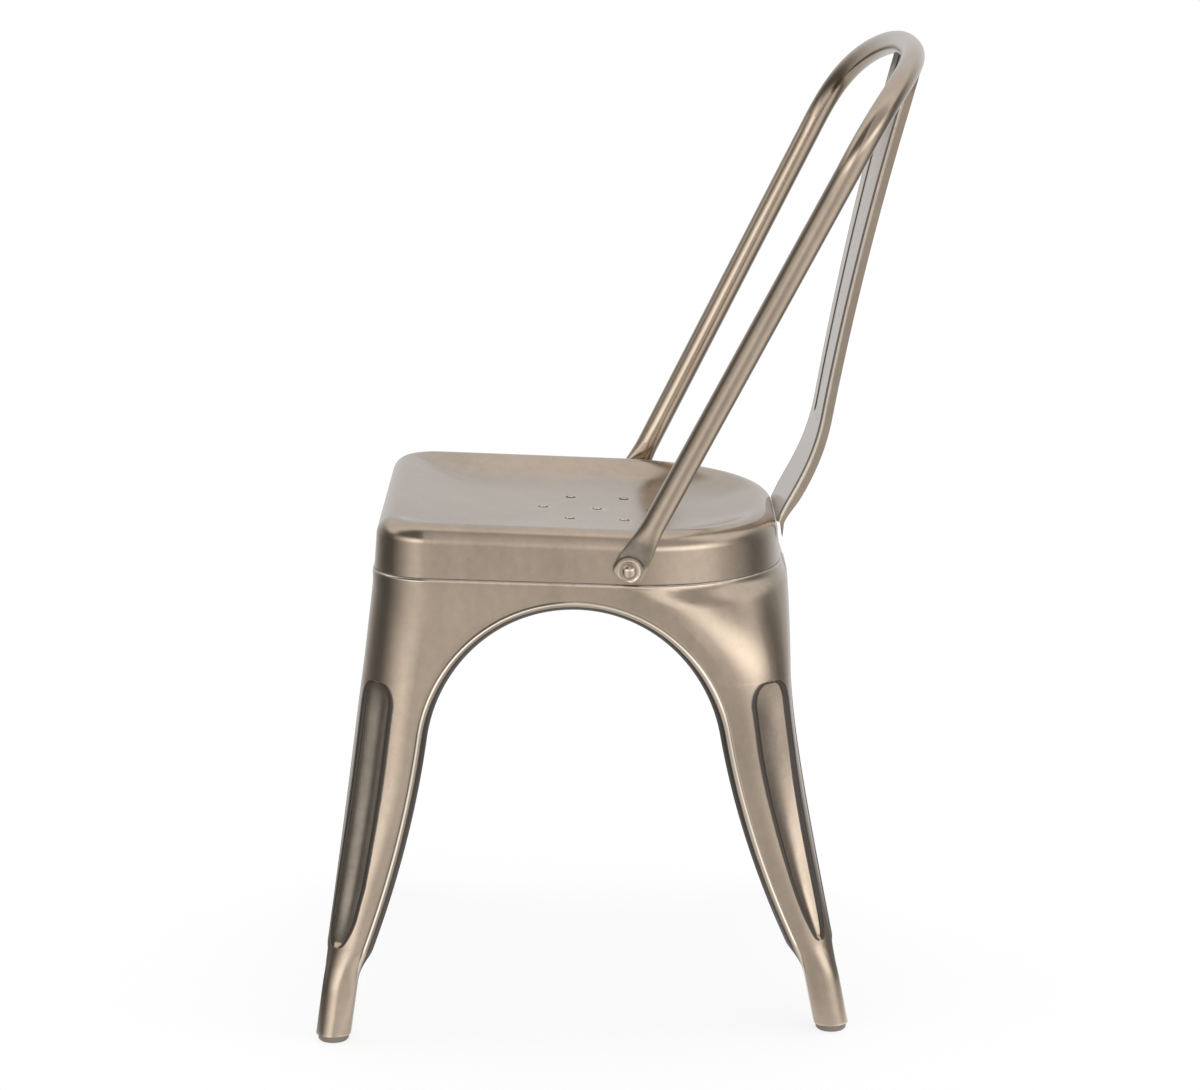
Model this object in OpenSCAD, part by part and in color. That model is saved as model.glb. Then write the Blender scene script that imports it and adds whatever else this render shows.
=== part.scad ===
// Stacking side chair in pressed sheet steel: a dished seat pan with a skirt, four pressed
// legs that meet as aprons under the skirt, a bent tube back with a tapered centre splat,
// rivets where the tube meets the skirt, foot glides, and a cross brace with bumpers below.
// Millimetres. Z is up, the sitter faces -Y and the sitter's left is +X.
// The origin is on the floor, at the middle of the space that the chair takes up.

/* [Seat] */
// Half of the seat width at the rolled edge
seat_half_w = 179; // [165:1:195]
// Distance from the middle of the chair to the front of the seat
seat_front = 175; // [165:0.5:185]
// Distance from the middle of the chair to the back of the seat
seat_rear = 172.5; // [165:0.5:185]
// Plan radius of the two front corners
seat_front_r = 43; // [30:1:60]
// Plan radius of the two rear corners, which makes the back of the seat nearly round
seat_rear_r = 136; // [110:1:150]
// Height of the rim above the floor at the middle of the seat
seat_h = 432.8; // [420:0.1:445]
// Fall of the rim from front to back
seat_fall = 14.7; // [6:0.1:24]
// Depth of the dish below the rim
dish_depth = 15.5; // [8:0.5:20]
// Radius of the rolled edge between the top and the skirt
roll_r = 17; // [11:0.5:19]
// Height from the rim to the lower edge of the skirt
skirt_drop = 44; // [38:0.5:48]
// How far the skirt leans out between the roll and its lower edge
skirt_flare = 2.2; // [0.4:0.1:3]
// Sheet thickness of the seat, the legs and the splat
sheet_t = 1.5; // [1.2:0.1:2]
// Diameter of each drain hole in the dish
drain_d = 9; // [6:0.5:12]
// Distance of the first and last drain hole from the middle one, lengthways
drain_pitch = 48; // [40:1:54]
// Distance of the four other drain holes from the middle one, sideways
drain_side = 47; // [38:1:54]
// Distance of the middle drain hole behind the middle of the chair
drain_y = 14; // [0:1:24]

/* [Legs] */
// Outside diameter of the rolled foot
foot_d = 27; // [24:0.5:30]
// Distance from the middle to the outer side of a front foot, sideways
foot_side_front = 238; // [205:1:244]
// Distance from the middle to the outer side of a rear foot, sideways
foot_side_rear = 213; // [200:1:244]
// Distance from the middle to the outer front of a front foot
foot_front = 227.5; // [220:0.5:236]
// Distance from the middle to the outer back of a rear foot
foot_rear = 228.5; // [218:0.5:234]
// Height at which the leg has closed into a round foot
foot_close = 40; // [36:1:56]
// Distance from the rim of the seat down to the top of the arches
arch_drop = 66.8; // [62:0.1:76]
// Half width of the side arch before it spreads towards the feet
arch_half_side = 117.6; // [108:0.5:121]
// Half width of the front and rear arches before they spread
arch_half_end = 110; // [100:0.5:114]
// Radius of the outer corner of a front leg above the foot
front_leg_r = 44; // [36:1:48]
// Radius of the outer corner of a rear leg above the foot
rear_leg_r = 46; // [38:1:52]
// Height over which an arch rounds into its legs
arch_round = 110; // [90:1:125]
// Distance that the side arch lies in front of the middle of the chair
arch_shift = 7.6; // [0:0.1:10]
// Width of the raised bead that follows the arch
bead_w = 9; // [7:0.5:10]
// Height of the bead
bead_h = 1.2; // [0.6:0.1:1.8]
// Depth of the flange returned inwards along the arch
lip_d = 9; // [6:0.5:11]
// Depth of the flute pressed into the outer corner of a leg
flute_depth = 5; // [2:0.5:6]
// Half width of the flute, measured round the corner
flute_half_w = 17.6; // [13:0.2:19]
// Distance from the top of the arches down to the top of the flute
flute_drop = 63; // [50:0.5:85]
// Height of the lower tip of the flute
flute_low = 78; // [70:1:95]
// Width of the slit left where the rolled foot closes
slit_w = 3; // [1.5:0.5:5]
// Height of the tab that the legs tuck up inside the skirt
tuck_up = 6.5; // [4:0.5:7]

/* [Back] */
// Diameter of the back tube
tube_d = 20.2; // [18:0.1:22]
// Distance from the rim of the seat down to the rivet that holds the tube on the skirt
rivet_drop = 32.3; // [27:0.1:34]
// Distance of the rivet behind the middle of the chair
rivet_y = 40.5; // [30:0.5:46]
// Lean of the back tube from upright
back_lean = 27.6; // [22:0.1:30]
// Length of a tube arm from the rivet to the top bend
arm_len = 384; // [360:1:410]
// Distance from the middle to the tube axis where the top bend starts
arm_top_half = 228; // [200:1:232]
// Rise of the top bend
bend_rise = 106; // [80:1:120]
// How far the top bend leans further back than the arms
bend_back = 20.5; // [8:0.1:26]
// Thickness of the flattened end of the tube
flat_t = 4.8; // [4:0.2:6]
// Width of the flattened end of the tube
flat_w = 27.4; // [25:0.2:30]
// Distance from the rivet to the cut end of the tube
flat_tip = 8.6; // [8:0.2:13]
// Length over which the tube flattens
flat_run = 46; // [40:1:60]

/* [Splat] */
// Height of the splat above the rim, just below the back tube
splat_high = 353.2; // [337:0.2:363]
// How far behind the middle the face of the splat lies there
splat_high_y = 272; // [264:0.5:278]
// How far behind the middle the face lies halfway up
splat_mid_y = 237.5; // [230:0.5:242]
// Height above the rim at which the splat starts to sweep forward to the seat
splat_low = 77.2; // [57:0.2:87]
// How far behind the middle the face lies there
splat_low_y = 209.5; // [200:0.5:212]
// Half width of the splat at its top
splat_top_half = 85; // [70:1:92]
// Half width of the splat at its waist
splat_waist_half = 56; // [48:1:62]
// Depth of the flanges turned back along the sides of the splat
splat_flange = 9.8; // [7:0.2:12]
// Depth of the two grooves pressed along the splat
groove_depth = 1.8; // [1:0.1:2.4]
// Height above the rim at which the grooves and the panel between them end
groove_low = 67.2; // [62:0.2:82]
// Half width of a groove
groove_half = 2.6; // [2:0.1:3.4]
// Radius of the folded corners along the sides of the splat
fold_r = 3; // [2:0.1:4]
// How far the side flanges reach down behind the skirt of the seat
tail_drop = 14.5; // [8:0.5:17]

/* [Fittings] */
// Height of a foot glide below the steel
glide_h = 6; // [4:0.5:8]
// Diameter of the rivet head
rivet_head_d = 11; // [9:0.5:12]
// Diameter of the washers inside the skirt
washer_d = 13; // [12:0.5:15]
// Thickness of the washers
washer_t = 1.4; // [1:0.1:2]
// Bevel of the glides and bumpers
glide_bevel = 1.5; // [1:0.1:2]
// Width of the flat bars of the cross brace
brace_w = 22; // [18:1:26]
// Thickness of the flat bars of the cross brace
brace_t = 4; // [3:0.5:5]
// Distance from the rim of the seat down to the underside of the lower bar
brace_drop = 82.8; // [78:0.2:86]
// Diameter of a stacking bumper
bumper_d = 20; // [16:1:22]
// Height of a stacking bumper
bumper_h = 8; // [6:0.5:10]
// Distance of a bumper from the inside of its corner
bumper_in = 52; // [46:1:60]

/* [Hidden] */

// Tints of the rubbed steel, the rivets, the glides and the dark bumpers
steel_tint = [0.56, 0.5, 0.43];
rivet_tint = [0.7, 0.66, 0.6];
plastic_tint = [0.5, 0.45, 0.39];
rubber_tint = [0.1, 0.1, 0.1];

// Clearance between pieces that lie on one another, and the overrun of a cutter
seat_gap = 0.3;
overrun = 1;

// Heights that keep their distance from the rim of the seat
arch_top = seat_h - arch_drop;
flute_top = arch_top - flute_drop;
rivet_h = seat_h - rivet_drop;
splat_high_z = seat_h + splat_high;
splat_low_z = seat_h + splat_low;
groove_end = seat_h + groove_low;
brace_h = seat_h - brace_drop;

// Slopes of the rim plane and of the lower edge of the skirt, each over the seat's length
seat_len = seat_front + seat_rear;
rim_slope = seat_fall / seat_len;
hem_share = 0.83;
hem_slope = rim_slope * hem_share;
rim_r = tube_d / 2;
foot_r = foot_d / 2;
seam_y = -arch_shift;

function rim_z(y) = seat_h - rim_slope * y;
function hem_z(y) = seat_h - skirt_drop - hem_slope * y;
function lerp(a, b, t) = a + (b - a) * t;
function clamp01(t) = max(0, min(1, t));
function ease(t) = let (c = clamp01(t)) c * c * (3 - 2 * c);

// Faces between two neighbouring rows of points, and a closed band around a loop
function quad(a, b, c, d) = [[a, b, c], [a, c, d]];
function grid_faces(rows, cols, base, flip) = [for (i = [0:rows - 2]) for (j = [0:cols - 2])
  let (a = base + i * cols + j, b = a + 1, c = b + cols, d = a + cols)
  each (flip ? quad(a, d, c, b) : quad(a, b, c, d))];
function flat1(lists) = [for (l = lists) each l];

// Seat pan: rings from the dish outwards, over the roll, down the skirt and back inside
dish_scale_shares = [0.4, 0.62, 0.78, 0.88, 0.95];
dish_depth_shares = [1, 0.93, 0.78, 0.5, 0.18];
roll_angles = [0, 22.5, 45, 67.5, 90];
crest_share = 1.2;
crest_in = roll_r * crest_share;
rear_turns = [0:9:90];
front_turns = [0:15:90];

function corner(cx, cy, r, turns, from) = [for (a = turns) [cx + r * cos(from + a), cy + r * sin(from + a)]];
function plan_ring(inset) = let (
    fx = seat_half_w - seat_front_r, fy = seat_front - seat_front_r, fr = seat_front_r - inset,
    bx = seat_half_w - seat_rear_r, by = seat_rear - seat_rear_r, br = seat_rear_r - inset)
  concat(corner(bx, by, br, rear_turns, 0), corner(-bx, by, br, rear_turns, 90),
    corner(-fx, -fy, fr, front_turns, 180), corner(fx, -fy, fr, front_turns, 270));
function rim_ring(inset, drop) = [for (p = plan_ring(inset)) [p[0], p[1], rim_z(p[1]) - drop]];
function dish_ring(k, under) = let (s = dish_scale_shares[k]) [for (p = plan_ring(crest_in))
  let (y = p[1] * s) [p[0] * s, y, rim_z(y) - dish_depth * dish_depth_shares[k] - under]];
function hem_ring(inset) = [for (p = plan_ring(inset)) [p[0], p[1], hem_z(p[1])]];
function roll_ring(a, t) = rim_ring(roll_r - (roll_r - t) * sin(a), roll_r - (roll_r - t) * cos(a));

module seat_shell() {
  last = len(dish_scale_shares) - 1;
  outer = concat([for (k = [0:last]) dish_ring(k, 0)], [rim_ring(crest_in, 0)],
    [for (a = roll_angles) roll_ring(a, 0)], [hem_ring(-skirt_flare)]);
  inner = concat([hem_ring(sheet_t - skirt_flare)],
    [for (k = [len(roll_angles) - 1:-1:0]) roll_ring(roll_angles[k], sheet_t)],
    [rim_ring(crest_in, sheet_t)], [for (k = [last:-1:0]) dish_ring(k, sheet_t)]);
  rings = concat(outer, inner);
  n = len(rings[0]);
  m = len(rings);
  sides = [for (i = [0:m - 2]) for (j = [0:n - 1]) let (a = i * n + j, b = i * n + (j + 1) % n)
    each quad(a, b, b + n, a + n)];
  caps = [[for (j = [n - 1:-1:0]) j], [for (j = [0:n - 1]) (m - 1) * n + j]];
  polyhedron(points = flat1(rings), faces = concat(caps, sides), convexity = 6);
}

module seat_pan() placed() {
  hole_r = drain_d / 2;
  reach = dish_depth + sheet_t + overrun * 4;
  base_z = rim_z(drain_y) - dish_depth - sheet_t - rim_slope * drain_pitch - overrun;
  rivet_hole = rivet_shank_d + seat_gap * 2;
  color(steel_tint) difference() {
    seat_shell();
    for (k = [-1, 0, 1]) translate([0, drain_y + k * drain_pitch, base_z]) cylinder(r = hole_r, h = reach);
    for (sx = [-1, 1]) for (sy = [-1, 1]) translate([sx * drain_side, drain_y + sy * drain_pitch / 2, base_z])
      cylinder(r = hole_r, h = reach);
    translate([0, rivet_y, rivet_h]) rotate([0, 90, 0])
      cylinder(d = rivet_hole, h = (seat_half_w + skirt_flare + overrun) * 2, center = true);
  }
}

// Leg walls: how far the side and the end of a leg lean out at a height
hem_ref = hem_z(seat_rear) - seat_gap * 2;
side_bow_share = 0.3;
end_bow_share = 0.08;
rear_top_share = 0.816;
rear_top = arch_top * rear_top_share;
rear_soft_share = 0.28;
side_soft_share = 0.06;
apron_swell = 4.2;
swell_run = sheet_t * 8;
function foot_side(e) = e < 0 ? foot_side_front : foot_side_rear;
function soft(t, k) = let (c = max(0, t)) c * c * (1 + k) / (c + k);
function bow(t, b) = t * (1 - b) + b * t * abs(t);
function side_x(e, z) = let (x = seat_half_w + skirt_flare)
  x + (foot_side(e) - x) * bow(soft((arch_top - z) / arch_top, side_soft_share), side_bow_share);
function front_y(z) = let (y = seat_front + skirt_flare) y + (foot_front - y) * bow(max(0, (hem_ref - z) / hem_ref), end_bow_share);
function rear_y(z) = let (y = seat_rear + skirt_flare, w = apron_swell * ease((hem_z(seat_rear) - seat_gap - z) / swell_run))
  y + w + (foot_rear - y - w) * soft((rear_top - z) / rear_top, rear_soft_share);
function end_y(e, z) = e < 0 ? front_y(z) : rear_y(z);

// Half opening of an arch at a depth below its top, side or end
function arch_foot(e, side) = side
  ? end_y(e, foot_close) - foot_d + e * arch_shift - arch_half_side
  : side_x(e, foot_close) - foot_d - arch_half_end;
function arch_half(e, side, d) = let (c = 1 - min(d, arch_round) / arch_round, f = d / (arch_top - foot_close))
  (side ? arch_half_side : arch_half_end) * sqrt(1 - c * c) + arch_foot(e, side) * f * f;

// The rows of a leg: low rows are level, high rows turn up towards the seat.
low_shares = [0, 0.08, 0.17, 0.25, 0.31, 0.36, 0.44, 0.55, 0.68, 0.84, 1];
high_shares = [0.17, 0.28, 0.36, 0.41, 0.44, 0.55, 0.7, 0.85, 1];
fan_steps = 5;
split_share = 0.653;
split_z = arch_top * split_share;
split_d = arch_top - split_z;
foot_z = glide_h;
low_rows = len(low_shares);
high_steps = len(high_shares);
leg_rows = low_rows + high_steps;
// How late the corner of each leg widens to the corner of the seat, front and rear
widen_powers = [1, 2.8];

function seat_r(e) = (e < 0 ? seat_front_r : seat_rear_r) + skirt_flare;
function seat_y(e) = (e < 0 ? seat_front : seat_rear) + skirt_flare;
// Depth below the arch top of the place on an arch that faces a point of its wall
function edge_d(side, far) = let (u = far[1] - arch_top + arch_round, v = side ? far[0] - seam_y : far[0])
  u <= 0 ? arch_top - far[1] : arch_round * (1 - u / norm([u, v]));
function row_p(i) = i < low_rows ? 0 : high_shares[i - low_rows];
function low_z(i) = lerp(foot_z, split_z, low_shares[i]);
function apron_z(y) = hem_z(y) - seat_gap;
function tangent_z(e) = apron_z(e * (seat_y(e) - seat_r(e)));
function high_z(e, p) = lerp(split_z, tangent_z(e), p);
function corner_z(e, i) = i < low_rows ? low_z(i) : high_z(e, row_p(i));
function leg_r(e) = e < 0 ? front_leg_r : rear_leg_r;
function high_r(e, p) = lerp(leg_r(e), seat_r(e), pow(p, widen_powers[e < 0 ? 0 : 1]));
function corner_r(e, i) = i == leg_rows - 1 ? seat_r(e) : i >= low_rows ? high_r(e, row_p(i))
  : lerp(foot_d, leg_r(e), ease((low_z(i) - foot_close) / (split_z - foot_close)));

// Section across a face of the leg, from the end of the flange, which leans into the arch, to the flat:
// each point is a run in from the arch and a rise out of the face, outer skin then inner skin
bead_shares = [0.34, 0.56, 0.78];
bead_side_share = 0.7;
bead_side = bead_h * bead_side_share;
lip_shares = [0.26, 0.34];
lip_lean = lip_d * lip_shares[0];
lip_turn = lip_d * lip_shares[1];
half_t = sheet_t / 2;
bead_skin = [
  [[0, -lip_d], [lip_lean, -lip_turn], [bead_w * bead_shares[0], -bead_h], [bead_w * bead_shares[1], bead_side],
    [bead_w * bead_shares[2], bead_h], [bead_w, 0]],
  [[sheet_t, -lip_d], [lip_lean + sheet_t, -lip_turn - half_t], [bead_w * bead_shares[0] + sheet_t, -bead_h - half_t],
    [bead_w * bead_shares[1] + sheet_t / 3, bead_side - sheet_t], [bead_w * bead_shares[2], bead_h - sheet_t],
    [bead_w, -sheet_t]]];
face_cols = len(bead_skin[0]) + 1;

function wall_pt(e, side, t, z, rise) = side ? [side_x(e, z) + rise, t, z] : [t, e * (end_y(e, z) + rise), z];
// Points of one face row, from the arch edge at depth d to the wall point [t, z] at its far end
function face_row(e, side, far, skin) = let (d = edge_d(side, far),
    near = [side ? seam_y + e * arch_half(e, true, d) : arch_half(e, false, d), arch_top - d],
    run = norm(far - near), dir = (far - near) / run,
    mid = near + dir * (run + bead_w) / 2)
  concat([for (b = bead_skin[skin]) let (q = near + dir * b[0]) wall_pt(e, side, q[0], q[1], b[1])],
    [wall_pt(e, side, mid[0], mid[1], -skin * sheet_t)]);

// Corner of the leg with its flute: angles from the side wall round to the end wall. The flute
// keeps its width round the corner, is rounded at the top and closes to a blunt tip below.
flute_rest_w = 2;
flute_round_share = 1.25;
flute_close_share = 2.2;
flute_round = flute_half_w * flute_round_share;
flute_close = foot_d * flute_close_share;
flute_tip_power = 2.4;
flute_end_power = 0.62;
flute_half_turn = 32;
flute_place_shares = [-1, -0.92, -0.5, 0, 0.5, 0.92, 1];
flute_depth_shares = [0, 0, 0, 0.3, 0.8, 1, 0.8, 0.3, 0, 0, 0];
// The rear flute is wider than the front one above and narrower below, and lies nearer the side.
rear_flute_shares = [0.55, 1.16];
rear_flute_turns = [8, 2];
function flute_t(z) = clamp01((z - flute_low) / (split_z - flute_low));
function flute_mid(e, z) = e < 0 ? 45 : 45 - lerp(rear_flute_turns[0], rear_flute_turns[1], flute_t(z));
function flute_w(e, z) = let (a = 1 - clamp01((flute_top - z) / flute_round), b = 1 - clamp01((z - flute_low) / flute_close))
  max(flute_rest_w, flute_half_w * (e < 0 ? 1 : lerp(rear_flute_shares[0], rear_flute_shares[1], flute_t(z)))
    * sqrt(1 - a * a) * pow(1 - pow(b, flute_tip_power), flute_end_power));
function flute_cut(z) = flute_depth * clamp01((z - flute_low) / foot_d) * clamp01((flute_top - z) / flute_half_w);
function corner_angles(e, z, r) = let (h = min(flute_half_turn, flute_w(e, z) / r * 180 / PI), m = flute_mid(e, z))
  concat([0, (m - h) / 2], [for (k = flute_place_shares) m + h * k], [(90 + m + h) / 2, 90]);
function corner_row(e, i, skin) = let (
    z = corner_z(e, i), r = corner_r(e, i), p = row_p(i), last = i == leg_rows - 1,
    cx = side_x(e, z) - r, cy = end_y(e, z) - r)
  [for (k = [0:len(flute_depth_shares) - 1]) let (
      a = corner_angles(e, z, r)[k], rr = r - skin * sheet_t - flute_cut(z) * flute_depth_shares[k],
      top = apron_z(e * (cy + r * sin(a))) - (last ? skin * sheet_t : 0))
    [cx + rr * cos(a), e * (cy + rr * sin(a)), p > 0 ? lerp(split_z, top, p) : z]];
function leg_row(e, i, skin) = let (
    z = corner_z(e, i), r = corner_r(e, i), p = row_p(i), y = end_y(e, z) - r,
    side_far = [e * y, z], end_far = [side_x(e, z) - r, p > 0 ? lerp(split_z, apron_z(e * (y + r)), p) : z],
    a = face_row(e, true, side_far, skin), b = face_row(e, false, end_far, skin))
  concat(a, corner_row(e, i, skin), [for (k = [len(b) - 1:-1:0]) b[k]]);

// The low rows close into a round foot with a slit on its inner side.
half_wrap_shares = [1, 0.93, 0.86, 0.79, 0.71, 0.63, 0.5, 0.36, 0.27, 0.2, 0.17, 0.08];
wrap_shares = concat(half_wrap_shares, [0], [for (k = [len(half_wrap_shares) - 1:-1:0]) -half_wrap_shares[k]]);
wrap_turn = 180 - asin(slit_w / foot_d);
open_share = 1.75;
open_z = foot_close * open_share;
function foot_row(e, z, skin) = let (cx = side_x(e, z) - foot_r, cy = end_y(e, z) - foot_r, r = foot_r - skin * sheet_t)
  [for (w = wrap_shares) let (a = 45 - w * wrap_turn) [cx + r * cos(a), e * (cy + r * sin(a)), z]];
function skin_row(e, i, skin) = let (z = corner_z(e, i), w = 1 - ease((z - foot_close) / (open_z - foot_close)),
    wall = leg_row(e, i, skin), round = foot_row(e, z, skin))
  w == 0 ? wall : [for (k = [0:len(wall) - 1]) lerp(wall[k], round[k], w)];

// Apron rows between the corner and the seam, at a share k of the way
function fan_far(e, side, k) = let (y = e * (seat_y(e) - seat_r(e)), x = seat_half_w + skirt_flare - seat_r(e))
  side ? let (t = lerp(y, seam_y, k)) [t, apron_z(t)] : [lerp(x, 0, k), apron_z(e * seat_y(e))];
function fan_row(e, side, k, skin) = let (far = fan_far(e, side, k), row = face_row(e, side, far, skin))
  concat(row, [wall_pt(e, side, far[0], far[1], 0) - skin * (side ? [sheet_t, 0, sheet_t] : [0, e * sheet_t, sheet_t])]);

// The edge tucked up inside the skirt: the shelf under the hem, then the upright tab
tuck_in = sheet_t + seat_gap;
function tuck_row(e, level, skin) = let (
    i = leg_rows - 1, inset = (level > 0 ? tuck_in : 0) + skin * sheet_t, rise = level > 1 ? tuck_up : -skin * sheet_t,
    r = seat_r(e), cx = seat_half_w + skirt_flare - r, cy = seat_y(e) - r)
  concat([for (n = [fan_steps:-1:1]) let (f = fan_far(e, true, n / fan_steps)) wall_pt(e, true, f[0], f[1], -inset) + [0, 0, rise]],
    [for (a = corner_angles(e, corner_z(e, i), corner_r(e, i))) let (y = e * (cy + r * sin(a)))
      [cx + (r - inset) * cos(a), e * (cy + (r - inset) * sin(a)), apron_z(y) + rise]],
    [for (n = [1:fan_steps]) let (f = fan_far(e, false, n / fan_steps)) wall_pt(e, false, f[0], f[1], -inset) + [0, 0, rise]]);

// Join rows of points into a patch with an outer and an inner skin, as one closed sheet
function rim(a, b, n, swap) = [for (k = [0:n - 2]) each (swap
  ? quad(a[k + 1], a[k], b[k], b[k + 1]) : quad(a[k], a[k + 1], b[k + 1], b[k]))];
function patch_faces(rows, cols, base, flip, sides) = let (
    n = rows * cols, s = base + n, top = (rows - 1) * cols,
    first = [for (j = [0:cols - 1]) j], left = [for (i = [0:rows - 1]) i * cols])
  concat(grid_faces(rows, cols, base, flip), grid_faces(rows, cols, s, !flip),
    sides[0] ? rim([for (v = first) base + v], [for (v = first) s + v], cols, !flip) : [],
    sides[1] ? rim([for (v = first) base + top + v], [for (v = first) s + top + v], cols, flip) : [],
    sides[2] ? rim([for (v = left) base + v], [for (v = left) s + v], rows, flip) : [],
    sides[3] ? rim([for (v = left) base + cols - 1 + v], [for (v = left) s + cols - 1 + v], rows, !flip) : []);

module leg(e) {
  last = leg_rows - 1;
  main = [for (skin = [0, 1]) for (i = [0:last]) each skin_row(e, i, skin)];
  cols = len(wrap_shares);
  side_fan = [for (skin = [0, 1]) each concat([for (j = [0:face_cols]) skin_row(e, last, skin)[j]],
    [for (n = [1:fan_steps]) each fan_row(e, true, n / fan_steps, skin)])];
  end_fan = [for (skin = [0, 1]) each concat([for (j = [cols - 1 - face_cols:cols - 1]) skin_row(e, last, skin)[j]],
    [for (n = [1:fan_steps]) let (r = fan_row(e, false, n / fan_steps, skin)) each [for (j = [face_cols:-1:0]) r[j]]])];
  tuck = [for (skin = [0, 1]) for (level = [0, 1, 2]) each tuck_row(e, level, skin)];
  wide = face_cols + 1;
  band = len(tuck) / 6;
  flip = e > 0;
  polyhedron(points = concat(main, side_fan, end_fan, tuck), faces = concat(
      patch_faces(leg_rows, cols, 0, flip, [true, false, true, true]),
      patch_faces(fan_steps + 1, wide, len(main), flip, [false, true, true, false]),
      patch_faces(fan_steps + 1, wide, len(main) + len(side_fan), flip, [false, true, false, true]),
      patch_faces(3, band, len(main) + len(side_fan) + len(end_fan), flip, [false, true, true, true])),
    convexity = 8);
}

module leg_front_left() placed() color(steel_tint) leg(-1);
module leg_front_right() placed() color(steel_tint) mirror([1, 0, 0]) leg(-1);
module leg_rear_left() placed() color(steel_tint) leg(1);
module leg_rear_right() placed() color(steel_tint) mirror([1, 0, 0]) leg(1);

// Back tube: the axis of half the hoop, from the rivet up the arm and over the top bend
lean = [sin(back_lean), cos(back_lean)];
arm_foot_half = seat_half_w + skirt_flare + seat_gap + flat_t / 2;
bend_power = 2.46;
bend_ease = 2.6;
bend_sides = 16;
function hoop_pt(x, s) = let (b = bend_back * pow(max(0, s - arm_len) / bend_rise, bend_ease))
  [x, rivet_y + s * lean[0] + b * lean[1], rivet_h + s * lean[1] - b * lean[0]];
function arm_pt(s) = let (k = (s - flat_w / 2) / (arm_len - flat_w / 2)) hoop_pt(lerp(arm_foot_half, arm_top_half, max(0, k)), s);
function bend_pt(a) = hoop_pt(arm_top_half * pow(cos(a), 2 / bend_power), arm_len + bend_rise * pow(sin(a), 2 / bend_power));
// Distances along the arm, with more of them where the end is flattened and rounded
tip_shares = [-1, -0.97, -0.86, -0.6, 0];
tip_power = 3;
flat_shares = [0.15, 0.4, 0.6, 0.8, 1];
arm_shares = [0.4, 0.7];
bend_angles = [0, 8, 18, 29, 41, 53, 65, 77, 84, 90];
arm_stops = concat([for (k = tip_shares) k * flat_tip], [for (k = flat_shares) k * flat_run], [for (k = arm_shares) k * arm_len]);
half_axis = concat([for (s = arm_stops) arm_pt(s)], [for (a = bend_angles) bend_pt(a)]);
hoop_axis = concat(half_axis, [for (k = [len(half_axis) - 2:-1:0]) [-half_axis[k][0], half_axis[k][1], half_axis[k][2]]]);
function tube_half_t(s) = lerp(flat_t / 2, rim_r, ease((s - flat_w / 2) / flat_run));
function tube_half_w(s) = s < 0 ? max(flat_t, flat_w / 2 * pow(max(0, 1 - pow(-s / flat_tip, tip_power)), 1 / tip_power))
  : lerp(flat_w / 2, rim_r, ease(s / flat_run));
half_sizes = concat([for (s = arm_stops) [tube_half_t(s), tube_half_w(s)]], [for (a = bend_angles) [rim_r, rim_r]]);
hoop_sizes = concat(half_sizes, [for (k = [len(half_sizes) - 2:-1:0]) half_sizes[k]]);

function unit(v) = v / norm(v);
// Rings of points around an axis that stays near one tilted plane
function ring_on(axis, sizes, i, n, normal) = let (
    m = len(axis) - 1, t = unit(axis[min(i + 1, m)] - axis[max(i - 1, 0)]),
    u = unit(cross(t, normal)), v = cross(t, u))
  [for (k = [0:n - 1]) let (a = 360 * k / n) axis[i] + u * sizes[i][0] * cos(a) + v * sizes[i][1] * sin(a)];
module sweep(axis, sizes, n, normal) {
  m = len(axis);
  points = [for (i = [0:m - 1]) each ring_on(axis, sizes, i, n, normal)];
  sides = [for (i = [0:m - 2]) for (k = [0:n - 1]) let (a = i * n + k, b = i * n + (k + 1) % n) each quad(a, a + n, b + n, b)];
  polyhedron(points = points, faces = concat(sides, [[for (k = [0:n - 1]) k], [for (k = [n - 1:-1:0]) (m - 1) * n + k]]),
    convexity = 6);
}

shank_share = 0.7;
rivet_shank_d = rivet_head_d * shank_share;
module back_hoop() placed() color(steel_tint) difference() {
  sweep(hoop_axis, hoop_sizes, bend_sides, [0, lean[1], -lean[0]]);
  translate([0, rivet_y, rivet_h]) rotate([0, 90, 0]) cylinder(d = rivet_shank_d + seat_gap * 2, h = (arm_top_half + overrun) * 2, center = true);
}

// Everything is drawn from the middle of the feet and then set about the middle of the whole
back_reach = hoop_pt(0, arm_len + bend_rise)[1] + rim_r;
mid_y = (back_reach - end_y(-1, foot_z)) / 2;
module placed() translate([0, -mid_y, 0]) children();

// Splat: the face line in side view, from the tube down to the rolled edge of the seat
splat_mid_z = (splat_high_z + splat_low_z) / 2;
foot_share = 0.09;
knee_shares = [0.5, 0.24, 0.25];
foot_in = roll_r * foot_share;
splat_foot = [seat_rear - foot_in, rim_z(seat_rear - foot_in) - roll_r + sqrt(pow(roll_r, 2) - pow(roll_r - foot_in, 2)) + seat_gap * 3];
lean_low = (4 * splat_mid_y - splat_high_y - 3 * splat_low_y) / (splat_high_z - splat_low_z);
sweep_len = splat_low_z - splat_foot[1];
knee_a = [splat_low_y - lean_low * sweep_len * knee_shares[0], splat_low_z - sweep_len * knee_shares[0]];
knee_b = [lerp(splat_foot[0], splat_low_y, knee_shares[1]), lerp(splat_foot[1], splat_low_z, knee_shares[2])];
function high_line(u) = let (a = splat_low_y, b = splat_mid_y, c = splat_high_y)
  [a + u * (4 * b - c - 3 * a) + 2 * u * u * (a + c - 2 * b), lerp(splat_low_z, splat_high_z, u)];
function low_line(v) = let (w = 1 - v, a = [splat_low_y, splat_low_z])
  w * w * w * a + 3 * w * w * v * knee_a + 3 * w * v * v * knee_b + v * v * v * splat_foot;
high_line_shares = [1, 0.84, 0.66, 0.5, 0.34, 0.17, 0];
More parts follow.
